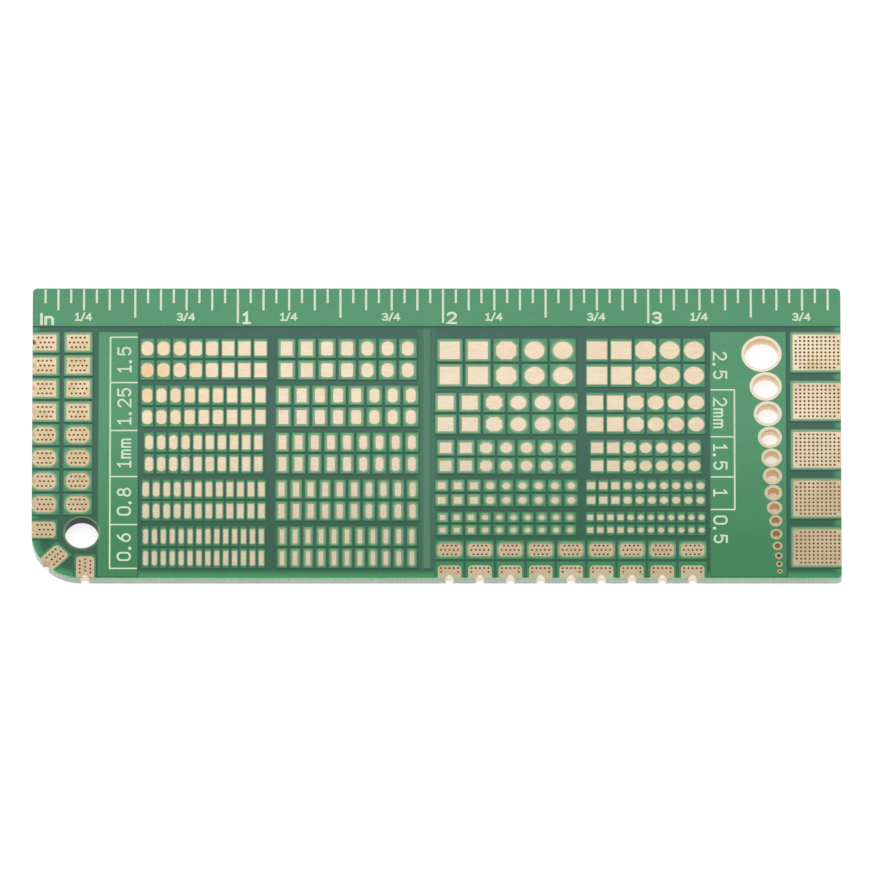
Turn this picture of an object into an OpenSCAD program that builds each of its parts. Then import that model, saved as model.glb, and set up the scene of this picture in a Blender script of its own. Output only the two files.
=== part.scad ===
// Soldering practice board: a ruler card with rows of bare gold pads, lying on its back.
// Inside the modules x runs from the left end and y from the front edge of the board.
// The board is as long and as deep as the rows, panels and ruler on it need.

/* [Layers] */
// Thickness of the board over its coated copper
board_t = 1.6; // [1.2:0.05:2.4]
// Thickness of the copper
copper_t = 0.07; // [0.06:0.005:0.12]
// Thickness of the green coat
coat_t = 0.03; // [0.02:0.005:0.05]
// Thickness of the printed marks
print_t = 0.02; // [0.01:0.005:0.04]
// Wall of the plating inside a hole
plating_t = 0.06; // [0.03:0.01:0.1]

/* [Outline] */
// Radius of the big round corner, with the lanyard hole at its centre
corner_r = 6.2; // [5.6:0.1:7.4]
// Radius of the three plain corners
edge_r = 0.6; // [0.4:0.1:1.4]
// Diameter of the lanyard hole
lanyard_d = 4.2; // [3.2:0.1:4.6]
// Distance that the copper under the ruler keeps from the routed edge
edge_inset = 0.45; // [0.42:0.01:0.6]

/* [Ruler] */
// Number of ticks in an inch
ticks_per_inch = 16; // [8, 16]
// Width of a tick
tick_w = 0.26; // [0.2:0.02:0.4]
// Length of the shortest ticks
tick_l = 2.05; // [1.6:0.05:2.4]
// What each longer kind of tick adds
tick_step = 1; // [0.8:0.05:1.1]
// Space between the ticks and the back edge
tick_start = 0.15; // [0.1:0.05:0.3]
// Height of the inch figures
inch_figure_h = 1.75; // [1.4:0.05:2]
// Height of the quarter inch figures
quarter_figure_h = 1.1; // [0.9:0.05:1.3]
// Space under the inch figures
inch_figure_rise = 0.3; // [0.2:0.05:0.4]
// Space under the quarter inch figures
quarter_figure_rise = 0.65; // [0.5:0.05:0.8]
// Space between a tick and a figure
figure_space = 0.45; // [0.35:0.05:0.6]
// Stroke of the ruler figures as a share of their height
figure_stroke = 0.17; // [0.12:0.01:0.2]
// Bare band between the ruler and what lies below it
ruler_band = 0.75; // [0.5:0.05:1.2]

/* [Pad rows] */
// Groove between two neighbouring lands
groove = 0.25; // [0.15:0.01:0.3]
// Space between pads along the close rows
close_space = 0.5; // [0.45:0.05:0.8]
// Space between pads along the loose rows
loose_space = 1; // [0.8:0.05:1.4]
// Space between the two rows of a group
row_space = 1; // [0.8:0.05:1.4]
// Space between two groups of rows
group_space = 0.75; // [0.6:0.05:1.2]
// Space between the ruler's bare band and the first rows
block_rise = 0.93; // [0.6:0.01:1.4]
// Space between two fields of rows
field_space = 0.72; // [0.5:0.01:1.2]
// Share of a row that has square corners
square_share = 0.33; // [0.25:0.01:0.4]
// Share of a loose oblong row that has square corners
loose_oblong_share = 0.27; // [0.2:0.01:0.35]
// Corner radius of the softened oblong pads, or corner cut of the square ones, as a share of their width
soft_share = 0.25; // [0.15:0.01:0.35]
// Corner radius of the oval pads, as a share of their width
oval_share = 0.46; // [0.4:0.01:0.48]

/* [Oblong pads] */
// Length of the oblong pads
oblong_l = 2; // [1.6:0.05:2.4]
// Width of the oblong pads in the first group
oblong_w1 = 1.5; // [1.3:0.05:1.9]
// Width of the oblong pads in the second group
oblong_w2 = 1.25; // [1.1:0.05:1.5]
// Width of the oblong pads in the third group
oblong_w3 = 1; // [0.9:0.05:1.2]
// Width of the oblong pads in the fourth group
oblong_w4 = 0.8; // [0.7:0.05:1]
// Width of the oblong pads in the fifth group
oblong_w5 = 0.6; // [0.5:0.05:0.75]
// Length of the field of close oblong pads
oblong_close_field = 16; // [12:0.5:20]
// Length of the field of loose oblong pads
oblong_loose_field = 18; // [14:0.5:22]
// Space between the oblong pads and the front edge
oblong_front = 1.32; // [1:0.02:2]

/* [Square and round pads] */
// Size of the pads in the first group
square_w1 = 2.5; // [2.2:0.05:3]
// Size of the pads in the second group
square_w2 = 2; // [1.8:0.05:2.4]
// Size of the pads in the third group
square_w3 = 1.5; // [1.3:0.05:1.8]
// Size of the pads in the fourth group
square_w4 = 1; // [0.9:0.05:1.2]
// Size of the pads in the fifth group
square_w5 = 0.75; // [0.6:0.05:0.9]
// Length of the field of loose pads
square_loose_field = 18; // [14:0.5:22]
// Length of the field of close pads
square_close_field = 15; // [12:0.5:18]
// Space between the last group and the perforated pads in front of it
square_front = 0.66; // [0.4:0.01:1]

/* [Perforated pads] */
// Diameter of the small holes
via_d = 0.3; // [0.2:0.01:0.32]
// Distance between the small holes along a row
via_pitch = 0.525; // [0.45:0.005:0.6]
// Distance between the rows of small holes on the pads at the left
left_via_row = 0.66; // [0.5:0.01:0.8]
// Distance between the rows of small holes on the pads at the front
front_via_row = 0.6; // [0.5:0.01:0.8]
// Shift of the middle row on the pads at the board's edge
via_shift = 0.265; // [0.2:0.005:0.3]
// Copper past the ends of the rows of small holes
via_rim = 0.4; // [0.3:0.01:0.5]
// Copper beside the rows of small holes on the pads at the left
left_rim = 0.465; // [0.35:0.005:0.6]
// Copper beside the rows of small holes on the pads at the front
front_rim = 0.28; // [0.2:0.01:0.4]
// Diameter of the half holes in the board's edge
half_hole_d = 0.9; // [0.7:0.05:1.1]
// Copper between a half hole and the first small holes
half_hole_rim = 0.125; // [0.1:0.005:0.3]
// Distance of the outer small holes from the front edge
front_first_via = 0.8; // [0.7:0.01:1]
// Coated margin round the pads at the left and at the right end
via_margin = 0.35; // [0.25:0.01:0.5]
// Coated margin at the inner end of the pads on the left edge
edge_margin = 0.45; // [0.3:0.01:0.6]
// Coated margin beside the pads at the front
front_side_margin = 0.3; // [0.2:0.01:0.4]
// Coated margin before and behind the inner pads at the front
front_margin = 0.45; // [0.3:0.01:0.6]
// Coated margin behind the pads on the front edge
front_edge_margin = 0.525; // [0.3:0.005:0.7]
// Coated margin round the pads in the big round corner
corner_margin = 0.25; // [0.2:0.01:0.3]
// Distance of the outer corner pads from the ends of the corner's arc
corner_shift = 0.43; // [0.3:0.01:0.6]
// Land kept clear of the lanyard hole
lanyard_rim = 0.3; // [0.2:0.01:0.4]
// Corner radius of the front rows of pads at the left
left_pad_r = 0.9; // [0.5:0.05:1]
// Corner radius of the pads at the front and in the big round corner
via_pad_r = 0.5; // [0.3:0.05:0.6]
// Groove between two columns of lands
column_groove = 0.45; // [0.4:0.01:0.8]
// Groove between the perforated pads and the left panel
panel_groove = 0.69; // [0.4:0.01:1]

/* [Grid pads] */
// Small holes across a grid pad
grid_columns = 11; // [7:1:13]
// Small holes up a grid pad
grid_rows = 9; // [5:1:11]
// Copper between the last column of small holes and the right end of the board
grid_end = 0.3; // [0.2:0.01:0.4]
// Space between two grid lands
grid_space = 1.04; // [0.8:0.02:1.4]

/* [Plated holes] */
// Diameter of the first plated hole
hole_d1 = 4.2; // [3.8:0.1:4.6]
// Diameter of the second plated hole
hole_d2 = 3.2; // [2.9:0.1:3.6]
// Diameter of the third plated hole
hole_d3 = 2.7; // [2.4:0.1:3]
// Diameter of the fourth plated hole
hole_d4 = 2.2; // [2:0.1:2.5]
// Diameter of the fifth plated hole
hole_d5 = 1.8; // [1.6:0.1:2]
// Diameter of the sixth plated hole
hole_d6 = 1.6; // [1.4:0.1:1.8]
// Diameter of the seventh plated hole
hole_d7 = 1.4; // [1.2:0.1:1.6]
// Diameter of the eighth plated hole
hole_d8 = 1.2; // [1:0.1:1.4]
// Diameter of the ninth plated hole
hole_d9 = 1; // [0.8:0.05:1.2]
// Diameter of the tenth plated hole
hole_d10 = 0.9; // [0.7:0.05:1]
// Diameter of the eleventh plated hole
hole_d11 = 0.7; // [0.6:0.05:0.8]
// Diameter of the twelfth plated hole
hole_d12 = 0.5; // [0.45:0.05:0.6]
// Diameter of the thirteenth plated hole
hole_d13 = 0.4; // [0.35:0.05:0.5]
// Diameter of the last plated hole
hole_d14 = 0.3; // [0.25:0.05:0.4]
// Widest ring round a plated hole
ring_w = 0.4; // [0.3:0.02:0.5]
// Space between the rings of the large holes
large_ring_space = 0.02; // [0.02:0.01:0.1]
// Space between the rings of the small holes
small_ring_space = 0.27; // [0.2:0.01:0.4]
// Space between the rings and the edges of their panel
ring_rise = 0.55; // [0.4:0.01:0.8]

/* [Panels and print] */
// Length of the label panel at the left
left_panel_l = 4.95; // [4.6:0.05:6]
// Distance of the left frame line from the end of its panel
frame_x = 1.53; // [1.2:0.01:1.8]
// Length of the label column at the right
right_label_l = 3.1; // [2.9:0.05:4]
// Space between the label column and the rings
ring_space = 0.8; // [0.5:0.05:1.2]
// Space between a panel and the front edge
panel_front = 0.15; // [0.1:0.01:0.3]
// Height of the label figures
label_h = 1.8; // [1.4:0.05:2]
// Stroke of the labels and of the frame lines
label_stroke = 0.2; // [0.16:0.01:0.28]
// Width of the ridge between the two halves of the board
ridge_w = 0.8; // [0.5:0.05:1.2]
// Space on each side of the ridge
ridge_space = 0.44; // [0.3:0.01:0.8]

/* [Hidden] */
$fn = 48;
inch = 25.4;
past = 1;
count_slack = 0.001;
letter_space = 1.9;
laminate_top = board_t - copper_t - coat_t;
front_z = laminate_top + copper_t;
laminate_t = laminate_top - copper_t;

oblong_w = [oblong_w1, oblong_w2, oblong_w3, oblong_w4, oblong_w5];
square_w = [square_w1, square_w2, square_w3, square_w4, square_w5];
hole_d = [hole_d1, hole_d2, hole_d3, hole_d4, hole_d5, hole_d6, hole_d7,
          hole_d8, hole_d9, hole_d10, hole_d11, hole_d12, hole_d13, hole_d14];
oblong_labels = ["1.5", "1.25", "1mm", "0.8", "0.6"];
square_labels = ["2.5", "2mm", "1.5", "1", "0.5"];
groups = [0:len(oblong_w) - 1];

// Sum of the first n values of a list
function total(v, n) = n <= 0 ? 0 : v[n - 1] + total(v, n - 1);
// Whole pitches in a length
function count_in(length, pitch) = floor(length / pitch + count_slack);

// Rings round the plated holes are narrower on the small ones, and stack from back to front
large_holes = 9;
ring_base = 0.12;
ring_growth = 0.2;
holes = [0:len(hole_d) - 1];
ring_d = [for (d = hole_d) d + 2 * min(ring_w, ring_base + ring_growth * d)];
ring_step = [for (i = holes) ring_d[i] + (i < large_holes - 1 ? large_ring_space : small_ring_space)];
ring_stack = total(ring_step, len(hole_d)) - small_ring_space;

// Depth that each column of the board needs, and the depth that the board gets
oblong_row_l = oblong_l + row_space;
oblong_step = 2 * oblong_row_l - groove + group_space;
oblong_stack = len(oblong_w) * oblong_step - group_space;
square_step = [for (w = square_w) 2 * (w + row_space) - groove + group_space];
square_stack = total(square_step, len(square_w)) - group_space;
front_pad_l = 4 * via_pitch + 2 * via_rim;
front_pad_w = 2 * front_via_row + 2 * front_rim;
front_edge_l = front_first_via + via_pitch + via_rim;
front_land_l = front_pad_l + 2 * front_side_margin;
front_inner_y = front_edge_l + front_edge_margin + groove;
front_rows = front_inner_y + front_pad_w + 2 * front_margin;
oblong_need = block_rise + oblong_stack + oblong_front;
square_need = block_rise + square_stack + square_front + front_rows;
ring_need = ring_stack + 2 * ring_rise;
field_top = max(oblong_need, square_need, ring_need);
block_top = field_top - block_rise;
medium_tick = tick_l + tick_step;
ruler_l = quarter_figure_rise + quarter_figure_h + figure_space + medium_tick;
ruler_y = field_top + ruler_band;
board_w = ruler_y + ruler_l;

// Places along the board, from the left end to the right
left_pad_l = 4 * via_pitch + 2 * via_rim;
left_pad_w = 2 * left_via_row + 2 * left_rim;
left_land_w = left_pad_w + 2 * via_margin;
left_pitch = left_land_w + groove;
edge_first_via = half_hole_d / 2 + half_hole_rim + via_d / 2;
edge_pad_l = edge_first_via + 3 * via_pitch + via_shift + via_rim;
edge_land_l = edge_pad_l + edge_margin;
inner_x = edge_land_l + column_groove;
inner_land_l = left_pad_l + 2 * via_margin;
left_panel_x = inner_x + inner_land_l + panel_groove;
left_panel_end = left_panel_x + left_panel_l;
oblong_close_x = left_panel_end + groove / 2;
oblong_loose_x = oblong_close_x + oblong_close_field + field_space;
ridge_x = oblong_loose_x + oblong_loose_field + ridge_space;
square_loose_x = ridge_x + ridge_w + ridge_space;
square_close_x = square_loose_x + square_loose_field + field_space;
square_end = square_close_x + square_close_field;
right_panel_x = square_end + column_groove;
ring_edge = right_panel_x + right_label_l + ring_space + max(ring_d);
right_panel_end = ring_edge + ring_rise;
grid_x = right_panel_end + column_groove;
grid_pad_l = via_rim + (grid_columns - 1) * via_pitch + grid_end;
grid_pad_w = (grid_rows - 1) * via_pitch + 2 * via_rim;
grid_land_l = grid_pad_l + via_margin;
grid_land_w = grid_pad_w + 2 * via_margin;
board_l = grid_x + grid_land_l;

// A row land is [x, y, land length, land width, pad length, pad width, corner radius]
function row_radius(k, n, w, share, oblong) =
    let (squares = round(n * share), soft = oblong ? floor((n - squares) / 2) : 1)
    k >= n - squares ? 0 :
    k >= n - squares - soft ? soft_share * w :
    oblong ? oval_share * w : w / 2;
function pad_row(x, y, field, w, l, space, share, oblong, round_left) =
    let (pitch = w + space, n = count_in(field, pitch))
    [for (i = [0:n - 1])
        [x + field / 2 + (i - (n - 1) / 2) * pitch, y, pitch - groove, l + row_space - groove, w, l,
         row_radius(round_left ? i : n - 1 - i, n, w, share, oblong)]];
function row_y(top, l, row) = top - (l + row_space - groove) / 2 - row * (l + row_space);
function oblong_top(g) = block_top - g * oblong_step;
function square_top(g) = block_top - total(square_step, g);
oblong_close = [for (g = groups) [for (row = [0, 1]) each pad_row(oblong_close_x,
    row_y(oblong_top(g), oblong_l, row), oblong_close_field, oblong_w[g], oblong_l, close_space,
    square_share, true, true)]];
oblong_loose = [for (g = groups) [for (row = [0, 1]) each pad_row(oblong_loose_x,
    row_y(oblong_top(g), oblong_l, row), oblong_loose_field, oblong_w[g], oblong_l, loose_space,
    loose_oblong_share, true, false)]];
square_loose = [for (g = groups) [for (row = [0, 1]) each pad_row(square_loose_x,
    row_y(square_top(g), square_w[g], row), square_loose_field, square_w[g], square_w[g], loose_space,
    square_share, false, false)]];
square_close = [for (g = groups) [for (row = [0, 1]) each pad_row(square_close_x,
    row_y(square_top(g), square_w[g], row), square_close_field, square_w[g], square_w[g], close_space,
    square_share, false, false)]];
all_rows = [for (block = [oblong_close, oblong_loose, square_loose, square_close]) for (g = block) each g];

// A perforated land is [x, y, angle, land start, land end, land width, pad start, pad end, pad width, radius]
// Its own axis starts at x, y and runs inwards from the board's edge
function edge_site(x, y, angle, land_end, land_w, pad_start, pad_end, pad_w, r) =
    [x, y, angle, -past, land_end, land_w, pad_start, pad_end, pad_w, r];
function inner_site(x, y, land_l, land_w, pad_l, pad_w, r) =
    [x, y, 0, -land_l / 2, land_l / 2, land_w, -pad_l / 2, pad_l / 2, pad_w, r];
corner_mid = corner_r + corner_shift;
corner_land_w = left_pad_w + 2 * corner_margin;
edge_rows = count_in(field_top - corner_mid - corner_land_w / 2, left_pitch);
inner_rows = count_in(field_top + groove - corner_r - lanyard_d / 2 - lanyard_rim, left_pitch);
function left_y(i) = field_top - left_land_w / 2 - i * left_pitch;
left_edge_sites = [for (i = [0:edge_rows - 1]) edge_site(0, left_y(i), 0, edge_land_l, left_land_w,
    0, edge_pad_l, left_pad_w, i < edge_rows / 2 ? 0 : left_pad_r)];
left_inner_sites = [for (i = [0:inner_rows - 1]) inner_site(inner_x + inner_land_l / 2, left_y(i),
    inner_land_l, left_land_w, left_pad_l, left_pad_w, i < inner_rows / 2 ? 0 : left_pad_r)];
arc_x = corner_r * (1 - cos(45));
corner_sites = [for (c = [[0, corner_mid, 0], [arc_x, arc_x, 45], [corner_mid, 0, 90]])
    edge_site(c[0], c[1], c[2], edge_pad_l + corner_margin, corner_land_w,
        -past, edge_pad_l, left_pad_w, via_pad_r)];
front_pitch = front_land_l + groove;
front_count = count_in(square_end - square_loose_x + groove, front_pitch);
function front_x(i) = square_end - front_land_l / 2 - i * front_pitch;
front_edge_sites = [for (i = [0:front_count - 1]) edge_site(front_x(i), 0, 90,
    front_edge_l + front_edge_margin, front_land_l, -past, front_edge_l, front_pad_l, via_pad_r)];
front_inner_sites = [for (i = [0:front_count - 1]) inner_site(front_x(i), (front_inner_y + front_rows) / 2,
    front_land_l, front_rows - front_inner_y, front_pad_l, front_pad_w, via_pad_r)];
grid_count = count_in(field_top + grid_space, grid_land_w + grid_space);
grid_sites = [for (i = [0:grid_count - 1])
    edge_site(board_l, field_top - grid_land_w / 2 - i * (grid_land_w + grid_space), 180,
        grid_land_l, grid_land_w, -past, grid_pad_l, grid_pad_w, 0)];
half_hole_sites = concat(left_edge_sites, corner_sites, front_edge_sites);
all_sites = concat(half_hole_sites, left_inner_sites, front_inner_sites, grid_sites);

// Small holes of one pad, along the pad's own axis
edge_vias = [for (row = [-1:1]) for (k = [0:3])
    [edge_first_via + k * via_pitch + (row == 0 ? via_shift : 0), row * left_via_row]];
function inner_vias(row_w) = [for (row = [-1:1]) for (k = [0:row == 0 ? 4 : 3])
    [(k - (row == 0 ? 2 : 1.5)) * via_pitch, row * row_w]];
left_vias = inner_vias(left_via_row);
front_vias = inner_vias(front_via_row);
front_edge_vias = concat([for (k = [-2:2]) [front_first_via + via_pitch, k * via_pitch]],
    [for (k = [-2, 2]) [front_first_via, k * via_pitch]]);
function outermost(k, n) = k == 0 || k == n - 1;
grid_vias = [for (i = [0:grid_columns - 1]) for (j = [0:grid_rows - 1])
    if (!(outermost(i, grid_columns) && outermost(j, grid_rows)))
    [grid_end + i * via_pitch, (j - (grid_rows - 1) / 2) * via_pitch]];

// Raised fields of coated copper, each [x, y, length, width]
ruler_area = [0, ruler_y, board_l, ruler_l];
left_panel_area = [left_panel_x, panel_front, left_panel_l, field_top - panel_front];
right_panel_area = [right_panel_x, panel_front, right_panel_end - right_panel_x, field_top - panel_front];
ridge_area = [ridge_x, oblong_front, ridge_w, field_top + ruler_band / 2 - oblong_front];

function hole_x(i) = ring_edge - ring_d[i] / 2;
function hole_y(i) = field_top - ring_rise - total(ring_step, i) - ring_d[i] / 2;

// Flat shape at its height, with the board centred on the origin
module layer(z, t) {
    translate([-board_l / 2, -board_w / 2, z]) linear_extrude(t) children();
}

module corner_waste_2d(r) {
    difference() {
        translate([-past, -past]) square(r + past);
        translate([r, r]) circle(r);
    }
}

module outline_2d() {
    difference() {
        square([board_l, board_w]);
        corner_waste_2d(corner_r);
        translate([board_l, 0]) rotate(90) corner_waste_2d(edge_r);
        translate([board_l, board_w]) rotate(180) corner_waste_2d(edge_r);
        translate([0, board_w]) rotate(270) corner_waste_2d(edge_r);
    }
}

module in_outline_2d() {
    intersection() {
        outline_2d();
        children();
    }
}

module pad_2d(l, w, r) {
    if (r <= 0) {
        square([l, w], center = true);
    } else if (l == w && r == w / 2) {
        circle(r);
    } else if (l == w) {
        intersection() {
            square(w, center = true);
            rotate(45) square(sqrt(2) * (w - r), center = true);
        }
    } else {
        square([l - 2 * r, w], center = true);
        square([l, w - 2 * r], center = true);
        for (x = [-1, 1], y = [-1, 1]) translate([x * (l / 2 - r), y * (w / 2 - r)]) circle(r);
    }
}

module row_lands_2d(rows, inset) {
    for (p = rows) translate([p[0], p[1]]) square([p[2] - 2 * inset, p[3] - 2 * inset], center = true);
}

module row_windows_2d(rows) {
    for (p = rows) translate([p[0], p[1]]) pad_2d(p[4], p[5], p[6]);
}

module on_site(s) {
    translate([s[0], s[1]]) rotate(s[2]) children();
}

module site_land_2d(s, inset) {
    on_site(s) translate([s[3] + inset, inset - s[5] / 2])
        square([s[4] - s[3] - 2 * inset, s[5] - 2 * inset]);
}

module site_pad_2d(s) {
    on_site(s) translate([(s[6] + s[7]) / 2, 0]) pad_2d(s[7] - s[6], s[8], s[9]);
}

module vias_2d(s, vias) {
    on_site(s) for (v = vias) translate(v) circle(d = via_d);
}

module area_2d(a, inset) {
    translate([a[0] + inset, a[1] + inset]) square([a[2] - 2 * inset, a[3] - 2 * inset]);
}

module rings_2d(extra) {
    for (i = holes) translate([hole_x(i), hole_y(i)]) circle(d = ring_d[i] + 2 * extra);
}

module lanyard_2d(extra) {
    translate([corner_r, corner_r]) circle(d = lanyard_d + 2 * extra);
}

module half_holes_2d(sites, d) {
    for (s = sites) on_site(s) circle(d = d);
}

module ruler_copper_2d() {
    translate([edge_inset, ruler_y + coat_t])
        square([board_l - 2 * edge_inset, ruler_l - edge_inset - coat_t]);
}

module left_copper_2d() {
    difference() {
        area_2d(left_panel_area, coat_t);
        lanyard_2d(coat_t);
    }
}

module right_copper_2d() {
    difference() {
        area_2d(right_panel_area, coat_t);
        rings_2d(coat_t);
    }
}

// Everything that stands raised over the bare laminate, and the copper inside it
module raised_2d() {
    row_lands_2d(all_rows, 0);
    in_outline_2d() {
        for (s = all_sites) site_land_2d(s, 0);
        area_2d(ruler_area, 0);
    }
    for (a = [left_panel_area, right_panel_area, ridge_area]) area_2d(a, 0);
}

module copper_2d() {
    row_lands_2d(all_rows, coat_t);
    in_outline_2d() for (s = all_sites) site_land_2d(s, coat_t);
    ruler_copper_2d();
    left_copper_2d();
    right_copper_2d();
    area_2d(ridge_area, coat_t);
}

module laminate() {
    color("honeydew") layer(copper_t, laminate_t) difference() {
        outline_2d();
        lanyard_2d(0);
        for (i = holes) translate([hole_x(i), hole_y(i)]) circle(d = hole_d[i] + 2 * plating_t);
        half_holes_2d(half_hole_sites, half_hole_d + 2 * plating_t);
        for (s = concat(left_edge_sites, corner_sites)) vias_2d(s, edge_vias);
        for (s = left_inner_sites) vias_2d(s, left_vias);
        for (s = front_edge_sites) vias_2d(s, front_edge_vias);
        for (s = front_inner_sites) vias_2d(s, front_vias);
        for (s = grid_sites) vias_2d(s, grid_vias);
    }
}

// One coat: a film on the bare laminate, up the sides of the copper and over it to the edge of each pad
module front_coat() {
    color("seagreen") {
        layer(laminate_top, coat_t) difference() {
            outline_2d();
            copper_2d();
            rings_2d(0);
            lanyard_2d(0);
        }
        layer(laminate_top + coat_t, copper_t - coat_t) difference() {
            raised_2d();
            copper_2d();
            rings_2d(0);
            lanyard_2d(0);
        }
        layer(front_z, coat_t) difference() {
            raised_2d();
            row_windows_2d(all_rows);
            for (s = all_sites) site_pad_2d(s);
            rings_2d(0);
            lanyard_2d(0);
            half_holes_2d(half_hole_sites, half_hole_d + 2 * plating_t);
        }
    }
}

// The back is flush: its coat is as thick as the copper of the pads that come through
module back_coat() {
    color("seagreen") layer(0, copper_t) difference() {
        outline_2d();
        lanyard_2d(0);
        rings_2d(0);
        for (s = all_sites) site_pad_2d(s);
        half_holes_2d(half_hole_sites, half_hole_d + 2 * plating_t);
    }
}

module ruler_field() {
    color("darkseagreen") layer(laminate_top, copper_t) ruler_copper_2d();
}

module left_panel_field() {
    color("darkseagreen") layer(laminate_top, copper_t) left_copper_2d();
}

module ridge_field() {
    color("darkseagreen") layer(laminate_top, copper_t) area_2d(ridge_area, coat_t);
}

module right_panel_field() {
    color("darkseagreen") layer(laminate_top, copper_t) right_copper_2d();
}

module row_pads(rows) {
    color("wheat") layer(laminate_top, copper_t) row_lands_2d(rows, coat_t);
}

// A perforated pad shows on both faces, and a half hole in the board's edge joins the two
module perforated_pads(sites, vias, half_hole) {
    color("wheat") for (s = sites) {
        layer(laminate_top, copper_t) difference() {
            in_outline_2d() site_land_2d(s, coat_t);
            vias_2d(s, vias);
            if (half_hole) half_holes_2d([s], half_hole_d);
        }
        layer(0, copper_t) difference() {
            in_outline_2d() site_pad_2d(s);
            vias_2d(s, vias);
            if (half_hole) half_holes_2d([s], half_hole_d);
        }
        if (half_hole) layer(0, front_z) difference() {
            in_outline_2d() half_holes_2d([s], half_hole_d + 2 * plating_t);
            half_holes_2d([s], half_hole_d);
        }
    }
}

module plated_hole(i) {
    color("goldenrod") translate([hole_x(i) - board_l / 2, hole_y(i) - board_w / 2, 0]) difference() {
        union() {
            cylinder(d = hole_d[i] + 2 * plating_t, h = front_z);
            cylinder(d = ring_d[i], h = copper_t);
            translate([0, 0, laminate_top]) cylinder(d = ring_d[i], h = copper_t);
        }
        translate([0, 0, -past]) cylinder(d = hole_d[i], h = board_t + 2 * past);
    }
}

// Figures are strokes on a grid of 4 by 6 squares
function strokes(c) =
    c == "0" ? [[[1, 0], [3, 0], [4, 1], [4, 5], [3, 6], [1, 6], [0, 5], [0, 1], [1, 0]]] :
    c == "1" ? [[[0.6, 4.8], [2, 6], [2, 0]], [[0.6, 0], [3.4, 0]]] :
    c == "2" ? [[[0, 5], [1, 6], [3, 6], [4, 5], [4, 4], [0, 0], [4, 0]]] :
    c == "3" ? [[[0, 5], [1, 6], [3, 6], [4, 5], [4, 4], [3, 3.1], [4, 2.2], [4, 1], [3, 0], [1, 0], [0, 1]],
                [[3, 3.1], [1.5, 3.1]]] :
    c == "4" ? [[[3, 0], [3, 6], [0, 2], [4, 2]]] :
    c == "5" ? [[[4, 6], [0, 6], [0, 3.6], [3, 3.6], [4, 2.6], [4, 1], [3, 0], [1, 0], [0, 1]]] :
    c == "6" ? [[[4, 5], [3, 6], [1, 6], [0, 5], [0, 1], [1, 0], [3, 0], [4, 1], [4, 2.5], [3, 3.5],
                 [0, 3.5]]] :
    c == "8" ? [[[1, 0], [3, 0], [4, 1], [4, 5], [3, 6], [1, 6], [0, 5], [0, 1], [1, 0]],
                [[0.2, 3.2], [3.8, 3.2]]] :
    c == "." ? [[[0.5, 0], [0.5, 0.5]]] :
    c == "/" ? [[[0, -0.4], [2.6, 6.4]]] :
    c == "m" ? [[[0, 0], [0, 4], [3.2, 4], [4, 3.2], [4, 0]], [[2, 3.8], [2, 0]]] :
    c == "n" ? [[[0, 0], [0, 4]], [[0, 3], [1, 4], [2.4, 4], [3.4, 3], [3.4, 0]]] :
    c == "I" ? [[[0, 0], [0, 6]]] : [];
function wide(c) = c == "." ? 1 : c == "/" ? 2.6 : c == "1" || c == "n" ? 3.4 : c == "I" ? 0 : 4;
function start(s, i) = i <= 0 ? 0 : start(s, i - 1) + wide(s[i - 1]) + letter_space;
function length_of(s) = start(s, len(s)) - letter_space;

module stroke_2d(a, b, w) {
    d = b - a;
    translate(a) rotate(atan2(d[1], d[0])) translate([-w / 2, -w / 2]) square([norm(d) + w, w]);
}

// Words that start at the origin, or are centred on it
module words_2d(s, h, stroke, centred) {
    unit = (h - stroke) / 6;
    shift = centred ? -length_of(s) / 2 : 0;
    for (i = [0:len(s) - 1]) translate([unit * (shift + start(s, i)), 0])
        for (line = strokes(s[i]), k = [0:len(line) - 2])
            stroke_2d(unit * line[k], unit * line[k + 1], stroke);
}

function tick_length(k) =
    k % ticks_per_inch == 0 ? ruler_l - figure_space :
    k % (ticks_per_inch / 2) == 0 ? tick_l + 2 * tick_step :
    k % (ticks_per_inch / 8) == 0 ? medium_tick : tick_l;
tick_count = count_in(board_l - edge_r, inch / ticks_per_inch);

module ruler_ticks() {
    color("lemonchiffon") layer(board_t, print_t) for (k = [1:tick_count])
        translate([k * inch / ticks_per_inch - tick_w / 2, board_w - tick_length(k)])
            square([tick_w, tick_length(k) - tick_start]);
}

module ruler_figures() {
    inch_stroke = figure_stroke * inch_figure_h;
    quarter_stroke = figure_stroke * quarter_figure_h;
    inches = floor(board_l / inch);
    color("lemonchiffon") layer(board_t, print_t) {
        translate([2 * figure_space, ruler_y + inch_figure_rise])
            words_2d("In", inch_figure_h, inch_stroke, false);
        for (n = [1:inches])
            translate([n * inch + tick_w / 2 + figure_space, ruler_y + inch_figure_rise + inch_stroke / 2])
                words_2d(str(n), inch_figure_h, inch_stroke, false);
        for (n = [0:inches], q = [1, 3]) if ((n + q / 4) * inch < board_l - inch_figure_h)
            translate([(n + q / 4) * inch, ruler_y + quarter_figure_rise + quarter_stroke / 2])
                words_2d(str(q, "/4"), quarter_figure_h, quarter_stroke, true);
    }
}

module line_2d(x, y, l, w) {
    translate([x, y]) square([l, w]);
}

module left_label_print() {
    bottom = block_top - oblong_stack;
    lines = [for (g = groups) g == 0 ? block_top : oblong_top(g) + (group_space - label_stroke) / 2];
    x = left_panel_x + frame_x;
    label_x = (x + left_panel_end + label_h) / 2;
    color("lemonchiffon") layer(board_t, print_t) {
        line_2d(x, bottom - label_stroke, label_stroke, block_top - bottom + 2 * label_stroke);
        for (y = concat(lines, [bottom - label_stroke]))
            line_2d(x, y, left_panel_end - x - label_stroke, label_stroke);
        for (g = groups) translate([label_x, oblong_top(g) + (group_space - oblong_step) / 2])
            rotate(90) words_2d(oblong_labels[g], label_h, label_stroke, true);
    }
}

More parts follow.
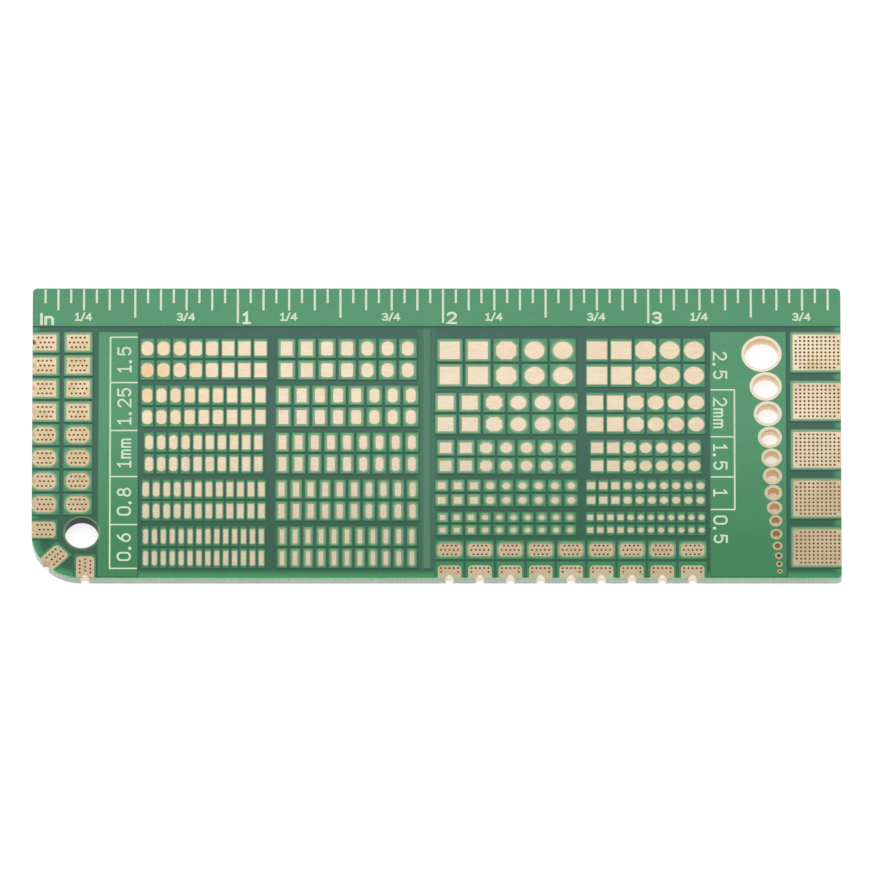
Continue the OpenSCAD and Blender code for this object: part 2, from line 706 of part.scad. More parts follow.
module right_label_print() {
    last = len(square_w) - 1;
    lines = [for (g = [1:last]) square_top(g) + (group_space - label_stroke) / 2];
    x = right_panel_x + right_label_l;
    label_x = x - (right_label_l + label_h) / 2;
    color("lemonchiffon") layer(board_t, print_t) {
        line_2d(x, lines[last - 1], label_stroke, lines[0] - lines[last - 1] + label_stroke);
        for (y = lines) line_2d(right_panel_x + label_stroke / 2, y, right_label_l, label_stroke);
        for (g = groups) translate([label_x, square_top(g) + (group_space - square_step[g]) / 2])
            rotate(-90) words_2d(square_labels[g], label_h, label_stroke, true);
    }
}

laminate();
front_coat();
back_coat();
ruler_field();
left_panel_field();
right_panel_field();
ridge_field();
row_pads(oblong_close[0]);  // oblong_pads_1_5_close
row_pads(oblong_close[1]);  // oblong_pads_1_25_close
row_pads(oblong_close[2]);  // oblong_pads_1_close
row_pads(oblong_close[3]);  // oblong_pads_0_8_close
row_pads(oblong_close[4]);  // oblong_pads_0_6_close
row_pads(oblong_loose[0]);  // oblong_pads_1_5_loose
row_pads(oblong_loose[1]);  // oblong_pads_1_25_loose
row_pads(oblong_loose[2]);  // oblong_pads_1_loose
row_pads(oblong_loose[3]);  // oblong_pads_0_8_loose
row_pads(oblong_loose[4]);  // oblong_pads_0_6_loose
row_pads(square_loose[0]);  // square_pads_2_5_loose
row_pads(square_loose[1]);  // square_pads_2_loose
row_pads(square_loose[2]);  // square_pads_1_5_loose
row_pads(square_loose[3]);  // square_pads_1_loose
row_pads(square_loose[4]);  // square_pads_0_5_loose
row_pads(square_close[0]);  // square_pads_2_5_close
row_pads(square_close[1]);  // square_pads_2_close
row_pads(square_close[2]);  // square_pads_1_5_close
row_pads(square_close[3]);  // square_pads_1_close
row_pads(square_close[4]);  // square_pads_0_5_close
perforated_pads(left_edge_sites, edge_vias, true);  // left_edge_pads
perforated_pads(left_inner_sites, left_vias, false);  // left_inner_pads
perforated_pads(corner_sites, edge_vias, true);  // corner_pads
perforated_pads(front_edge_sites, front_edge_vias, true);  // front_edge_pads
perforated_pads(front_inner_sites, front_vias, false);  // front_inner_pads
perforated_pads(grid_sites, grid_vias, false);  // grid_pads
plated_hole(0);  // plated_hole_1
plated_hole(1);  // plated_hole_2
plated_hole(2);  // plated_hole_3
plated_hole(3);  // plated_hole_4
plated_hole(4);  // plated_hole_5
plated_hole(5);  // plated_hole_6
plated_hole(6);  // plated_hole_7
plated_hole(7);  // plated_hole_8
plated_hole(8);  // plated_hole_9
plated_hole(9);  // plated_hole_10
plated_hole(10);  // plated_hole_11
plated_hole(11);  // plated_hole_12
plated_hole(12);  // plated_hole_13
plated_hole(13);  // plated_hole_14
ruler_ticks();
ruler_figures();
left_label_print();
right_label_print();
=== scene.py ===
import bpy
import bmesh
import math
import random
from collections import namedtuple
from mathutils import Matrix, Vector


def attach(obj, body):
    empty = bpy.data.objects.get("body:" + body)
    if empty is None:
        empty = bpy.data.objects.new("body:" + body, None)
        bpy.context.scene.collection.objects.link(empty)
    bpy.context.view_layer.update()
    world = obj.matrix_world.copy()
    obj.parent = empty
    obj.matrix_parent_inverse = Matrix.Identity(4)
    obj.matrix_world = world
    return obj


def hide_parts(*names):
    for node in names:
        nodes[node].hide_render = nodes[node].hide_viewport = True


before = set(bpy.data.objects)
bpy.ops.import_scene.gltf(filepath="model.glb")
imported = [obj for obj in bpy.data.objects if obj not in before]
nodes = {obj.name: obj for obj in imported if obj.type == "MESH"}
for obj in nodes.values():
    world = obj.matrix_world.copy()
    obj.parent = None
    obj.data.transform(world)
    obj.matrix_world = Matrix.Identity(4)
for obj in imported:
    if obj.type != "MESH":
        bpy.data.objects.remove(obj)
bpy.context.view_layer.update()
scene = bpy.context.scene
scene.view_settings.view_transform = "Standard"
print("board loaded,", len(nodes), "CAD nodes")

mm = 0.001

# sizes of the board in mm, x from the left end and y from the front edge, as in the part
board = {
    "length": 100.0, "depth": 40.0, "cornerR": 6.2, "lanyardD": 4.2, "groove": 0.25, "ridgeX": 48.7875,
    "filmZ": 1.53, "copperZ": 1.57, "coatZ": 1.6, "printT": 0.02, "inch": 25.4,
}


def onBoard(x, y, z=0.0):
    return Vector(((x - board["length"] / 2) * mm, (y - board["depth"] / 2) * mm, z * mm))


cornerAt = onBoard(board["cornerR"], board["cornerR"])  # middle of the round corner and the lanyard hole


# small helpers for node trees

def put(tree, kind, ins=None, **settings):
    n = tree.nodes.new(kind)
    for k, v in settings.items():
        setattr(n, k, v)
    for k, v in (ins or {}).items():
        s = n.inputs[k]
        if isinstance(v, bpy.types.NodeSocket):
            tree.links.new(v, s)
        else:
            s.default_value = v
    return n


def calc(tree, op, a, b=0.0, clamp=False):
    return put(tree, "ShaderNodeMath", {0: a, 1: b}, operation=op, use_clamp=clamp).outputs[0]


def calcVec(tree, op, a, b=(0, 0, 0), out="Vector"):
    return put(tree, "ShaderNodeVectorMath", {0: a, 1: b}, operation=op).outputs[out]


def split(tree, vector):
    return put(tree, "ShaderNodeSeparateXYZ", {0: vector}).outputs


def join(tree, *parts):
    return put(tree, "ShaderNodeCombineXYZ", dict(enumerate(parts))).outputs[0]


def mixNumber(tree, fac, a, b):
    return put(tree, "ShaderNodeMix", {0: fac, 2: a, 3: b}).outputs[0]


def mixColor(tree, fac, a, b, blend="MIX"):
    return put(tree, "ShaderNodeMix", {0: fac, 6: a, 7: b}, data_type="RGBA", blend_type=blend).outputs[2]


def ramp(tree, value, low, high, outLow=0.0, outHigh=1.0, smooth=True):
    return put(tree, "ShaderNodeMapRange", {0: value, 1: low, 2: high, 3: outLow, 4: outHigh},
               interpolation_type="SMOOTHSTEP" if smooth else "LINEAR").outputs[0]


def fade(tree, value, low, high, smooth=True):
    return ramp(tree, value, low, high, 1.0, 0.0, smooth)


def noise(tree, vector, scale, detail, **more):
    ins = {"Vector": vector, "Scale": scale, "Detail": detail, **more}
    return put(tree, "ShaderNodeTexNoise", ins).outputs


def attribute(tree, name):
    return put(tree, "ShaderNodeAttribute", attribute_name=name).outputs["Fac"]


def rgb(r, g, b):
    def lin(c):
        c = c / 255
        return c / 12.92 if c <= 0.04045 else ((c + 0.055) / 1.055) ** 2.4
    return (lin(r), lin(g), lin(b), 1.0)


def newGroup(name, kind, ins, outs):
    g = bpy.data.node_groups.new(name, kind)
    for n, socket, value in ins:
        s = g.interface.new_socket(name=n, in_out="INPUT", socket_type="NodeSocket" + socket)
        if value is not None:
            s.default_value = value
    for n, socket in outs:
        g.interface.new_socket(name=n, in_out="OUTPUT", socket_type="NodeSocket" + socket)
    return g, g.nodes.new("NodeGroupInput").outputs, g.nodes.new("NodeGroupOutput").inputs


def use(tree, group, **ins):
    return put(tree, "ShaderNodeGroup", ins, node_tree=group).outputs


# shader groups shared by the finishes

def aroundOne(tree, value, amount):
    swing = calc(tree, "MULTIPLY", calc(tree, "SUBTRACT", value, 0.5), calc(tree, "MULTIPLY", amount, 4.0))
    return calc(tree, "ADD", swing, 1.0)


def makeMottle():
    # a cloudy tone around 1, and the fine grain in it
    g, i, o = newGroup("mottle", "ShaderNodeTree",
                       [("Millimetres", "Vector", None), ("Cloud", "Float", 0.4), ("Speck", "Float", 6.0),
                        ("Amount", "Float", 0.1)],
                       [("Tone", "Float"), ("Grain", "Float")])
    cloud = noise(g, i["Millimetres"], i["Cloud"], 3.0)[0]
    fine = noise(g, i["Millimetres"], i["Speck"], 2.0)[0]
    g.links.new(aroundOne(g, mixNumber(g, 0.35, cloud, fine), i["Amount"]), o["Tone"])
    g.links.new(fine, o["Grain"])
    return g


def makeBrushed():
    # faint lines along the board, around 1, as left by scrubbing, and their height
    g, i, o = newGroup("brushed", "ShaderNodeTree",
                       [("Millimetres", "Vector", None), ("Across", "Float", 9.0), ("Amount", "Float", 0.1)],
                       [("Lines", "Float"), ("Height", "Float")])
    stretched = calcVec(g, "MULTIPLY", i["Millimetres"], (0.22, 1.0, 1.0))
    line = noise(g, stretched, i["Across"], 3.0, Roughness=0.65)[0]
    g.links.new(aroundOne(g, line, i["Amount"]), o["Lines"])
    g.links.new(line, o["Height"])
    return g


def makeRimLight():
    # 1 at the routed outline, 0 further in: light gets into the laminate there
    g, i, o = newGroup("rimLight", "ShaderNodeTree",
                       [("Millimetres", "Vector", None), ("Reach", "Float", 1.0)], [("Rim", "Float")])
    flat = calcVec(g, "MULTIPLY", i["Millimetres"], (1, 1, 0))
    x, y, z = split(g, flat)
    sideX = calc(g, "SUBTRACT", board["length"] / 2, calc(g, "ABSOLUTE", x))
    sideY = calc(g, "ADD", y, board["depth"] / 2)
    inCorner = calcVec(g, "MINIMUM", calcVec(g, "SUBTRACT", flat, cornerAt / mm))
    arc = calc(g, "SUBTRACT", board["cornerR"], calcVec(g, "LENGTH", inCorner, out="Value"))
    edge = calc(g, "MINIMUM", calc(g, "MINIMUM", sideX, sideY), arc)
    g.links.new(fade(g, edge, calc(g, "MULTIPLY", i["Reach"], 0.2), i["Reach"]), o["Rim"])
    return g


mottleGroup = makeMottle()
brushedGroup = makeBrushed()
rimGroup = makeRimLight()


# finishes, whose spans run in mm from the middle of the board's back

def newFinish(name, look):
    m = bpy.data.materials.new(name)
    m.use_nodes = True
    t = m.node_tree
    for k, v in look["fixed"].items():
        t.nodes["Principled BSDF"].inputs[k].default_value = v
    where = put(t, "ShaderNodeTexCoord").outputs["Object"]
    inMm = put(t, "ShaderNodeMapping", {"Vector": where, "Scale": (1 / mm, 1 / mm, 1 / mm)}).outputs[0]
    return m, t, inMm, use(t, mottleGroup, Millimetres=inMm, **look["mottle"])


def toned(tree, color, tone):
    return mixColor(tree, 1.0, color, join(tree, tone, tone, tone), "MULTIPLY")


def dress(m, look, color, grain, height=None):
    # the roughness is a share of the grain on top of a least value
    t = m.node_tree
    ins = t.nodes["Principled BSDF"].inputs
    share, least = look["rough"]
    t.links.new(color, ins["Base Color"])
    t.links.new(calc(t, "ADD", calc(t, "MULTIPLY", grain, share), least), ins["Roughness"])
    if height is not None:
        strength, deep = look["bump"]
        bump = put(t, "ShaderNodeBump", {"Height": height, "Strength": strength, "Distance": deep * mm})
        t.links.new(bump.outputs[0], ins["Normal"])
    return m


coatLook = {
    # the ...Front colours are painted shade: the coat is darker and greener toward the board's front edge
    "onCopper": rgb(80, 153, 110), "onCopperFront": rgb(50, 133, 83),
    "onBare": rgb(57, 101, 86), "onBareFront": rgb(26, 90, 60),
    "rim": rgb(84, 150, 116), "rimFront": rgb(54, 146, 90),
    # slope is painted shade on the land edges, halo a painted highlight along the pad windows
    "slope": rgb(32, 92, 66), "halo": rgb(168, 190, 152),
    "ridge": rgb(78, 129, 102), "byRidge": rgb(64, 115, 92),
    "riseZ": (1.56, 1.598), "driftY": (-19.0, 5.0), "reach": 1.2,
    "onRidge": (0.2, 0.65), "besideRidge": (0.8, 1.4), "besideY": (-18.0, -6.0, 0.4, 1.0),
    "ridgeNearY": (-18.8, -18.65), "ridgeFarY": (14.3, 14.6),
    "fixed": {"IOR": 1.5, "Specular IOR Level": 0.45}, "rough": (0.6, 0.0), "bump": (0.1, 0.02),
    "mottle": {"Cloud": 0.12, "Speck": 1.6, "Amount": 0.05},
    "lines": {"Across": 2.2, "Amount": 0.03}, "lineHeight": 0.6,
}


def makeCoat(name, back=False):
    look = coatLook
    m, t, inMm, mottle = newFinish(name, look)
    x, y, z = split(t, inMm)
    lines = use(t, brushedGroup, Millimetres=inMm, **look["lines"])
    rim = use(t, rimGroup, Millimetres=inMm, Reach=look["reach"])["Rim"]
    # painted shade: toward the front edge the colours shift to their darker ...Front versions
    frontShade = ramp(t, y, *look["driftY"])

    def fromFront(key):
        return mixColor(t, frontShade, look[key + "Front"], look[key])

    col = mixColor(t, rim, fromFront("onBare"), fromFront("rim"))
    if not back:
        fromRidge = calc(t, "ABSOLUTE", calc(t, "SUBTRACT", x, board["ridgeX"] - board["length"] / 2))
        along = calc(t, "MULTIPLY", ramp(t, y, *look["ridgeNearY"]), fade(t, y, *look["ridgeFarY"]))
        beside = calc(t, "MULTIPLY", fade(t, fromRidge, *look["besideRidge"]), along)
        col = mixColor(t, calc(t, "MULTIPLY", beside, ramp(t, y, *look["besideY"])), col, look["byRidge"])
        col = mixColor(t, ramp(t, z, *look["riseZ"]), col, fromFront("onCopper"))
        shade = attribute(t, "shade")  # above 0 a dark slope, below 0 a pale lip
        # painted shade: the shade attribute darkens the coat's slopes round each land
        col = mixColor(t, calc(t, "MAXIMUM", shade, 0.0), col, look["slope"])
        # painted highlight: a pale halo along the coat's edge round every pad window
        col = mixColor(t, calc(t, "MAXIMUM", calc(t, "MULTIPLY", shade, -1.0), 0.0), col, look["halo"])
        onRidge = calc(t, "MULTIPLY", fade(t, fromRidge, *look["onRidge"]), along)
        col = mixColor(t, onRidge, col, look["ridge"])
    color = toned(t, col, calc(t, "MULTIPLY", mottle["Tone"], lines["Lines"]))
    height = calc(t, "ADD", mottle["Grain"], calc(t, "MULTIPLY", lines["Height"], look["lineHeight"]))
    return dress(m, look, color, mottle["Grain"], height)


goldLook = {
    "rose": rgb(238, 214, 192), "blush": 0.5, "patch": (0.92, 1.12, 0.4, 1.0), "fixed": {"Metallic": 0.9},
    "mottle": {"Cloud": 0.55, "Speck": 4.0, "Amount": 0.08}, "lines": {"Across": 3.6, "Amount": 0.08},
    "rough": (0.8, 0.0), "bump": (0.1, 0.02),
}
padLook = {
    # front is painted shade: the gold turns darker toward the board's front edge
    **goldLook, "pale": rgb(239, 222, 196), "warm": rgb(232, 198, 148), "front": rgb(196, 184, 156),
    "frontY": (-18.0, 8.0, 0.75, 0.0),
}
sheetLook = {
    # front is painted shade: the gold turns darker toward the board's front edge
    **goldLook, "pale": rgb(244, 228, 200), "warm": rgb(206, 179, 130), "front": rgb(184, 166, 134),
    "frontY": (-18.0, 9.0, 0.75, 0.0), "cloud": 0.21, "warmCloud": (0.35, 0.75), "roseCloud": (0.45, 0.75),
    # wall and wallBack are painted shade in the half holes along the left edge
    "warmX": (-42.0, -40.0), "wall": rgb(214, 180, 148), "wallBack": rgb(124, 88, 58),
    "wallFront": rgb(254, 240, 216), "wallTopZ": (1.3, 1.56), "wallFootZ": (0.04, 0.2),
    "wallBackY": (10.5, 11.5), "leftWallsX": (-48.9, -48.6), "frontWallsY": (-19.2, -18.9),
}


def makeGold(name, look, perPad):
    m, t, inMm, mottle = newFinish(name, look)
    x, y, z = split(t, inMm)
    lines = use(t, brushedGroup, Millimetres=inMm, **look["lines"])
    if perPad:
        tone, blush = attribute(t, "tone"), attribute(t, "blush")
    else:
        wide = noise(t, inMm, look["cloud"], 1.0)
        tone = calc(t, "MAXIMUM", ramp(t, wide[0], *look["warmCloud"]), fade(t, x, *look["warmX"]))
        green = put(t, "ShaderNodeSeparateColor", {0: wide[1]}).outputs[1]
        blush = ramp(t, green, *look["roseCloud"])
    warm = calc(t, "MULTIPLY", tone, ramp(t, mottle["Tone"], *look["patch"]), clamp=True)
    col = mixColor(t, warm, look["pale"], look["warm"])
    col = mixColor(t, calc(t, "MULTIPLY", blush, look["blush"]), col, look["rose"])
    # painted shade: darker toward the board's front edge
    col = mixColor(t, ramp(t, y, *look["frontY"]), col, look["front"])
    if not perPad:  # walls of the half holes
        deep = calc(t, "MULTIPLY", fade(t, z, *look["wallTopZ"]), ramp(t, z, *look["wallFootZ"]))
        # painted shade: the walls of the left half holes are darkened to brown, darker still toward the back
        leftWall = mixColor(t, ramp(t, y, *look["wallBackY"]), look["wall"], look["wallBack"])
        col = mixColor(t, calc(t, "MULTIPLY", fade(t, x, *look["leftWallsX"]), deep), col, leftWall)
        col = mixColor(t, calc(t, "MULTIPLY", fade(t, y, *look["frontWallsY"]), deep), col, look["wallFront"])
    return dress(m, look, toned(t, col, lines["Lines"]), mottle["Grain"], lines["Height"])


platingLook = {
    # wallLow is a painted reflection of the floor, wallFront and wallSmall painted light and shade in the
    # smaller holes, ringFront painted shade
    "ring": rgb(236, 227, 203), "ringFront": rgb(188, 179, 146), "wall": rgb(222, 186, 140),
    "wallLow": rgb(240, 222, 190), "wallFront": rgb(232, 205, 161), "wallSmall": rgb(212, 172, 130),
    "lowZ": (0.3, 1.3), "wallFrontY": (-9.0, 3.0), "wallSmallY": (-12.5, -10.8), "ringFrontY": (-18.0, 9.0),
    "topZ": (1.53, 1.569), "backZ": (0.0, 0.06), "fixed": {"Metallic": 0.9},
    "mottle": {"Cloud": 1.2, "Speck": 7.0, "Amount": 0.12}, "rough": (0.76, 0.0), "bump": (0.15, 0.02),
}


def makePlating():
    look = platingLook
    m, t, inMm, mottle = newFinish("platedGold", look)
    x, y, z = split(t, inMm)
    # painted reflection: the walls are lighter low down, where they face the floor
    wall = mixColor(t, ramp(t, z, *look["lowZ"]), look["wallLow"], look["wall"])
    # painted light and shade: toward the front the walls of the smaller holes turn lighter, then darker
    for key in ("wallFront", "wallSmall"):
        wall = mixColor(t, fade(t, y, *look[key + "Y"]), wall, look[key])
    # painted shade: the rings darken toward the front
    ring = mixColor(t, fade(t, y, *look["ringFrontY"]), look["ring"], look["ringFront"])
    face = calc(t, "MAXIMUM", ramp(t, z, *look["topZ"], smooth=False), fade(t, z, *look["backZ"], False))
    col = toned(t, mixColor(t, face, wall, ring), mottle["Tone"])
    return dress(m, look, col, mottle["Grain"], mottle["Grain"])


viaLook = {
    "lip": rgb(184, 156, 120), "wall": rgb(234, 200, 154), "deep": rgb(202, 166, 120),
    "wallZ": (1.0, 1.5), "lipZ": (1.56, 1.57), "fixed": {"Metallic": 0.3},
    "mottle": {"Cloud": 0.8, "Speck": 9.0, "Amount": 0.2}, "rough": (0.4, 0.3),
}


def makeViaWall():
    look = viaLook
    m, t, inMm, mottle = newFinish("viaWall", look)
    z = split(t, inMm)[2]
    # painted shade: the via walls darken deeper down in the hole
    col = mixColor(t, ramp(t, z, *look["wallZ"]), look["deep"], look["wall"])
    col = mixColor(t, ramp(t, z, *look["lipZ"]), col, look["lip"])
    return dress(m, look, toned(t, col, mottle["Tone"]), mottle["Grain"])


laminateLook = {
    "glass": rgb(230, 248, 232), "green": rgb(172, 246, 200), "pale": rgb(248, 248, 240),
    "drilled": rgb(40, 68, 60), "greenZ": (0.3, 1.5), "plies": (0.5, 0.5, 7.0), "glassPly": (0.42, 0.62),
    "cuts": (9.0, 9.0, 0.35), "cutTone": (0.3, 0.7, 0.88, 1.06), "drilledR": (2.15, 2.3),
    "fixed": {"IOR": 1.5}, "mottle": {"Cloud": 0.15, "Speck": 3.0, "Amount": 0.12},
    "rough": (0.3, 0.4), "bump": (0.3, 0.04),
}


def makeLaminate():
    look = laminateLook
    m, t, inMm, mottle = newFinish("routedLaminate", look)
    ply = noise(t, calcVec(t, "MULTIPLY", inMm, look["plies"]), 1.0, 4.0)[0]
    cut = noise(t, calcVec(t, "MULTIPLY", inMm, look["cuts"]), 1.0, 3.0)[0]
    col = mixColor(t, ramp(t, split(t, inMm)[2], *look["greenZ"]), look["pale"], look["green"])
    col = mixColor(t, ramp(t, ply, *look["glassPly"]), col, look["glass"])
    col = toned(t, col, calc(t, "MULTIPLY", mottle["Tone"], ramp(t, cut, *look["cutTone"])))
    # painted shade: the laminate is made dark on the lanyard hole's wall
    away = calcVec(t, "DISTANCE", calcVec(t, "MULTIPLY", inMm, (1, 1, 0)), cornerAt / mm, "Value")
    col = mixColor(t, fade(t, away, *look["drilledR"]), col, look["drilled"])
    return dress(m, look, col, ply, cut)


inkLook = {
    "thin": rgb(214, 231, 197), "full": rgb(226, 241, 213), "grain": (0.3, 0.75), "fixed": {"IOR": 1.45},
    "mottle": {"Cloud": 1.5, "Speck": 8.0, "Amount": 0.08}, "rough": (0.3, 0.35), "bump": (0.2, 0.02),
}


def makeInk():
    look = inkLook
    m, t, inMm, mottle = newFinish("creamInk", look)
    col = mixColor(t, ramp(t, mottle["Grain"], *look["grain"]), look["thin"], look["full"])
    return dress(m, look, toned(t, col, mottle["Tone"]), mottle["Grain"], mottle["Grain"])


coatFinish = makeCoat("greenCoat")
backFinish = makeCoat("greenCoatBack", back=True)
padGold = makeGold("paleGold", padLook, True)
plateGold = makeGold("paleGoldPlate", sheetLook, False)
platingFinish = makePlating()
viaFinish = makeViaWall()
laminateFinish = makeLaminate()
inkFinish = makeInk()
print("finishes made")

for name, node in nodes.items():
    finish = plateGold
    if name == "laminate":
        finish = laminateFinish
    elif name == "back_coat":
        finish = backFinish
    elif name == "front_coat" or name.endswith("_field"):
        finish = coatFinish
    elif name.startswith("plated_hole"):
        finish = platingFinish
    elif name.startswith(("ruler_", "left_label", "right_label")):
        finish = inkFinish
    node.data.materials.clear()
    node.data.materials.append(finish)


# geometry node trees, in metres

def newTree(name, ins):
    ins = [("Geometry", "Geometry", None)] + ins + [("Finish", "Material", None)]
    return newGroup(name, "GeometryNodeTree", ins, [("Geometry", "Geometry")])


def here(tree):
    return put(tree, "GeometryNodeInputPosition").outputs[0]


def named(tree, name, kind="FLOAT_VECTOR"):
    return put(tree, "GeometryNodeInputNamedAttribute", {"Name": name}, data_type=kind).outputs[0]


def remember(tree, geometry, name, kind, value):
    return put(tree, "GeometryNodeStoreNamedAttribute", {"Geometry": geometry, "Name": name, "Value": value},
               data_type=kind, domain="POINT").outputs[0]


def scatter(tree, points, instance, more):
    ins = {"Points": points, "Instance": instance, **more}
    many = put(tree, "GeometryNodeInstanceOnPoints", ins).outputs[0]
    return put(tree, "GeometryNodeRealizeInstances", {"Geometry": many}).outputs[0]


def endTree(tree, geometry, i, o):
    done = put(tree, "GeometryNodeSetMaterial", {"Geometry": geometry, "Material": i["Finish"]}).outputs[0]
    tree.links.new(done, o["Geometry"])
    return tree


blocks = {"roundSides": 20, "cutSides": 8, "leastRadius": 0.000002, "edgeReach": 0.000001}
ringKeys = ("Grow", "Height", "Shade")


def blockCans(g, rings, caps):
    # a round can and an eight-sided one to pick from, and the last one linked comes first
    both = put(g, "GeometryNodeJoinGeometry")
    for sides in (blocks["cutSides"], blocks["roundSides"]):
        can = put(g, "GeometryNodeMeshCylinder",
                  {"Vertices": sides, "Side Segments": rings - 1, "Radius": 1.0, "Depth": 1.0},
                  fill_type="NGON" if caps else "NONE").outputs[0]
        turned = {"Geometry": can, "Rotation": (0, 0, math.pi / sides)}
        can = put(g, "GeometryNodeTransform", turned).outputs[0]
        can = remember(g, can, "shape", "FLOAT_VECTOR", here(g))
        g.links.new(put(g, "GeometryNodeGeometryToInstance", {0: can}).outputs[0], both.inputs[0])
    return both.outputs[0]


def holdToBoard(g, place, limit, corner, turn):
    # places past the edges come back to them, and those past the round corner to its arc
    place = calcVec(g, "MINIMUM", place, limit)
    place = calcVec(g, "MAXIMUM", place, calcVec(g, "MULTIPLY", limit, (-1, -1, 0)))
    inCorner = calcVec(g, "MINIMUM", calcVec(g, "SUBTRACT", place, corner))
    over = calc(g, "MAXIMUM", calc(g, "SUBTRACT", calcVec(g, "LENGTH", inCorner, out="Value"), turn), 0.0)
    outward = put(g, "ShaderNodeVectorMath", {0: calcVec(g, "NORMALIZE", inCorner), "Scale": over},
                  operation="SCALE").outputs[0]
    return calcVec(g, "SUBTRACT", place, outward)


def dropEdgeFaces(g, geometry, limit):
    # faces that lie in the board's edge would close its half holes
    at, ends = split(g, here(g)), split(g, limit)
    onEdge = [calc(g, "GREATER_THAN", calc(g, "ABSOLUTE", at[k]),
                   calc(g, "SUBTRACT", ends[k], blocks["edgeReach"])) for k in (0, 1)]
    ins = {"Geometry": geometry, "Selection": calc(g, "MAXIMUM", *onEdge)}
    return put(g, "GeometryNodeDeleteGeometry", ins, domain="FACE").outputs[0]


def makeBlockTree(name, rings, caps):
    # a rounded block on every point: half sizes and corner radius come from the point's "half",
    # an eight-sided one where the point's "cut" is 1, and each ring has its own growth, height and shade
    ins = [(key + " " + str(k), "Float", 0.0) for k in range(rings) for key in ringKeys]
    g, i, o = newTree(name, ins + [("Limit", "Vector", (1, 1, 1)), ("Corner", "Vector", (0, 0, 0)),
                                   ("Round", "Float", 10.0)])
    spots = put(g, "GeometryNodeMeshToPoints", {"Mesh": i["Geometry"]}).outputs[0]
    spots = remember(g, spots, "spot", "FLOAT_VECTOR", here(g))
    real = scatter(g, spots, blockCans(g, rings, caps),
                   {"Pick Instance": True, "Instance Index": named(g, "cut", "INT")})
    shape, half = split(g, named(g, "shape")), split(g, named(g, "half"))
    up = calc(g, "ADD", shape[2], 0.5)
    ring = [i[key + " 0"] for key in ringKeys]
    for k in range(1, rings):
        past = calc(g, "GREATER_THAN", up, (k - 0.5) / (rings - 1))
        ring = [mixNumber(g, past, low, i[key + " " + str(k)]) for key, low in zip(ringKeys, ring)]
    growth, height, shade = ring
    radius = calc(g, "MAXIMUM", calc(g, "ADD", half[2], growth), blocks["leastRadius"])
    out = []
    for k in (0, 1):
        flat = calc(g, "MULTIPLY", calc(g, "SIGN", shape[k]), calc(g, "SUBTRACT", half[k], half[2]))
        out.append(calc(g, "ADD", flat, calc(g, "MULTIPLY", shape[k], radius)))
    place = calcVec(g, "ADD", named(g, "spot"), join(g, *out, height))
    place = holdToBoard(g, place, i["Limit"], i["Corner"], i["Round"])
    real = remember(g, real, "shade", "FLOAT", shade)
    real = put(g, "GeometryNodeSetPosition", {"Geometry": real, "Position": place}).outputs[0]
    real = dropEdgeFaces(g, real, i["Limit"])
    for n in ("shape", "spot", "half", "cut"):
        real = put(g, "GeometryNodeRemoveAttribute", {"Geometry": real, "Name": n}).outputs[0]
    return endTree(g, real, i, o)


def profile(*rings):
    # growth and height in mm and shade of each ring, in the order of the can's rings
    values = {}
    for k, (out, z, dark) in enumerate(rings):
        values.update({"Grow " + str(k): out * mm, "Height " + str(k): z * mm, "Shade " + str(k): dark})
    return values


def makeTickTree():
    # every second, eighth and sixteenth bar is longer
    g, i, o = newTree("rulerTicks", [("Count", "Int", 62), ("Pitch", "Float", 0.0015875),
                                     ("Width", "Float", 0.0003), ("Short", "Float", 0.002),
                                     ("Step", "Float", 0.001), ("Whole", "Float", 0.005),
                                     ("Start", "Vector", (0, 0, 0)), ("Height", "Float", 0.00002)])
    line = put(g, "GeometryNodeMeshLine", {"Count": i["Count"], "Start Location": i["Start"],
                                           "Offset": join(g, i["Pitch"])}, mode="OFFSET").outputs[0]
    k = calc(g, "ADD", put(g, "GeometryNodeInputIndex").outputs[0], 1.0)
    long = i["Short"]
    second = calc(g, "ADD", long, i["Step"])
    half = calc(g, "ADD", second, i["Step"])
    for every, want in ((2.0, second), (8.0, half), (16.0, i["Whole"])):
        hit = calc(g, "LESS_THAN", calc(g, "MODULO", k, every), 0.5)
        long = calc(g, "MAXIMUM", long, calc(g, "MULTIPLY", hit, want))
    bar = put(g, "GeometryNodeMeshCube", {"Size": (1, 1, 1)}).outputs[0]
    bar = put(g, "GeometryNodeTransform", {"Geometry": bar, "Translation": (0, -0.5, 0.5)}).outputs[0]
    return endTree(g, scatter(g, line, bar, {"Scale": join(g, i["Width"], long, i["Height"])}), i, o)


def makeViaTree():
    # a plated wall with a small lip in every hole
    g, i, o = newTree("viaWalls", [("Radius", "Float", 0.000115), ("Lip", "Float", 0.00003),
                                   ("Top", "Float", 0.001573), ("Drop", "Float", 0.000001)])
    can = put(g, "GeometryNodeMeshCylinder",
              {"Vertices": 12, "Side Segments": 2, "Radius": 1.0, "Depth": 1.0}, fill_type="NONE").outputs[0]
    x, y, z = split(g, here(g))
    top = calc(g, "GREATER_THAN", z, 0.25)
    wide = calc(g, "ADD", i["Radius"], calc(g, "MULTIPLY", top, i["Lip"]))
    high = calc(g, "MULTIPLY", calc(g, "GREATER_THAN", z, -0.25), i["Top"])
    high = calc(g, "SUBTRACT", high, calc(g, "MULTIPLY", top, i["Drop"]))
    place = join(g, calc(g, "MULTIPLY", x, wide), calc(g, "MULTIPLY", y, wide), high)
    can = put(g, "GeometryNodeSetPosition", {"Geometry": can, "Position": place}).outputs[0]
    can = put(g, "GeometryNodeFlipFaces", {"Mesh": can}).outputs[0]
    spots = put(g, "GeometryNodeMeshToPoints", {"Mesh": i["Geometry"]}).outputs[0]
    return endTree(g, scatter(g, spots, can, {}), i, o)


# making pieces

def addObject(name, data):
    thing = bpy.data.objects.new(name, data)
    scene.collection.objects.link(thing)
    return thing


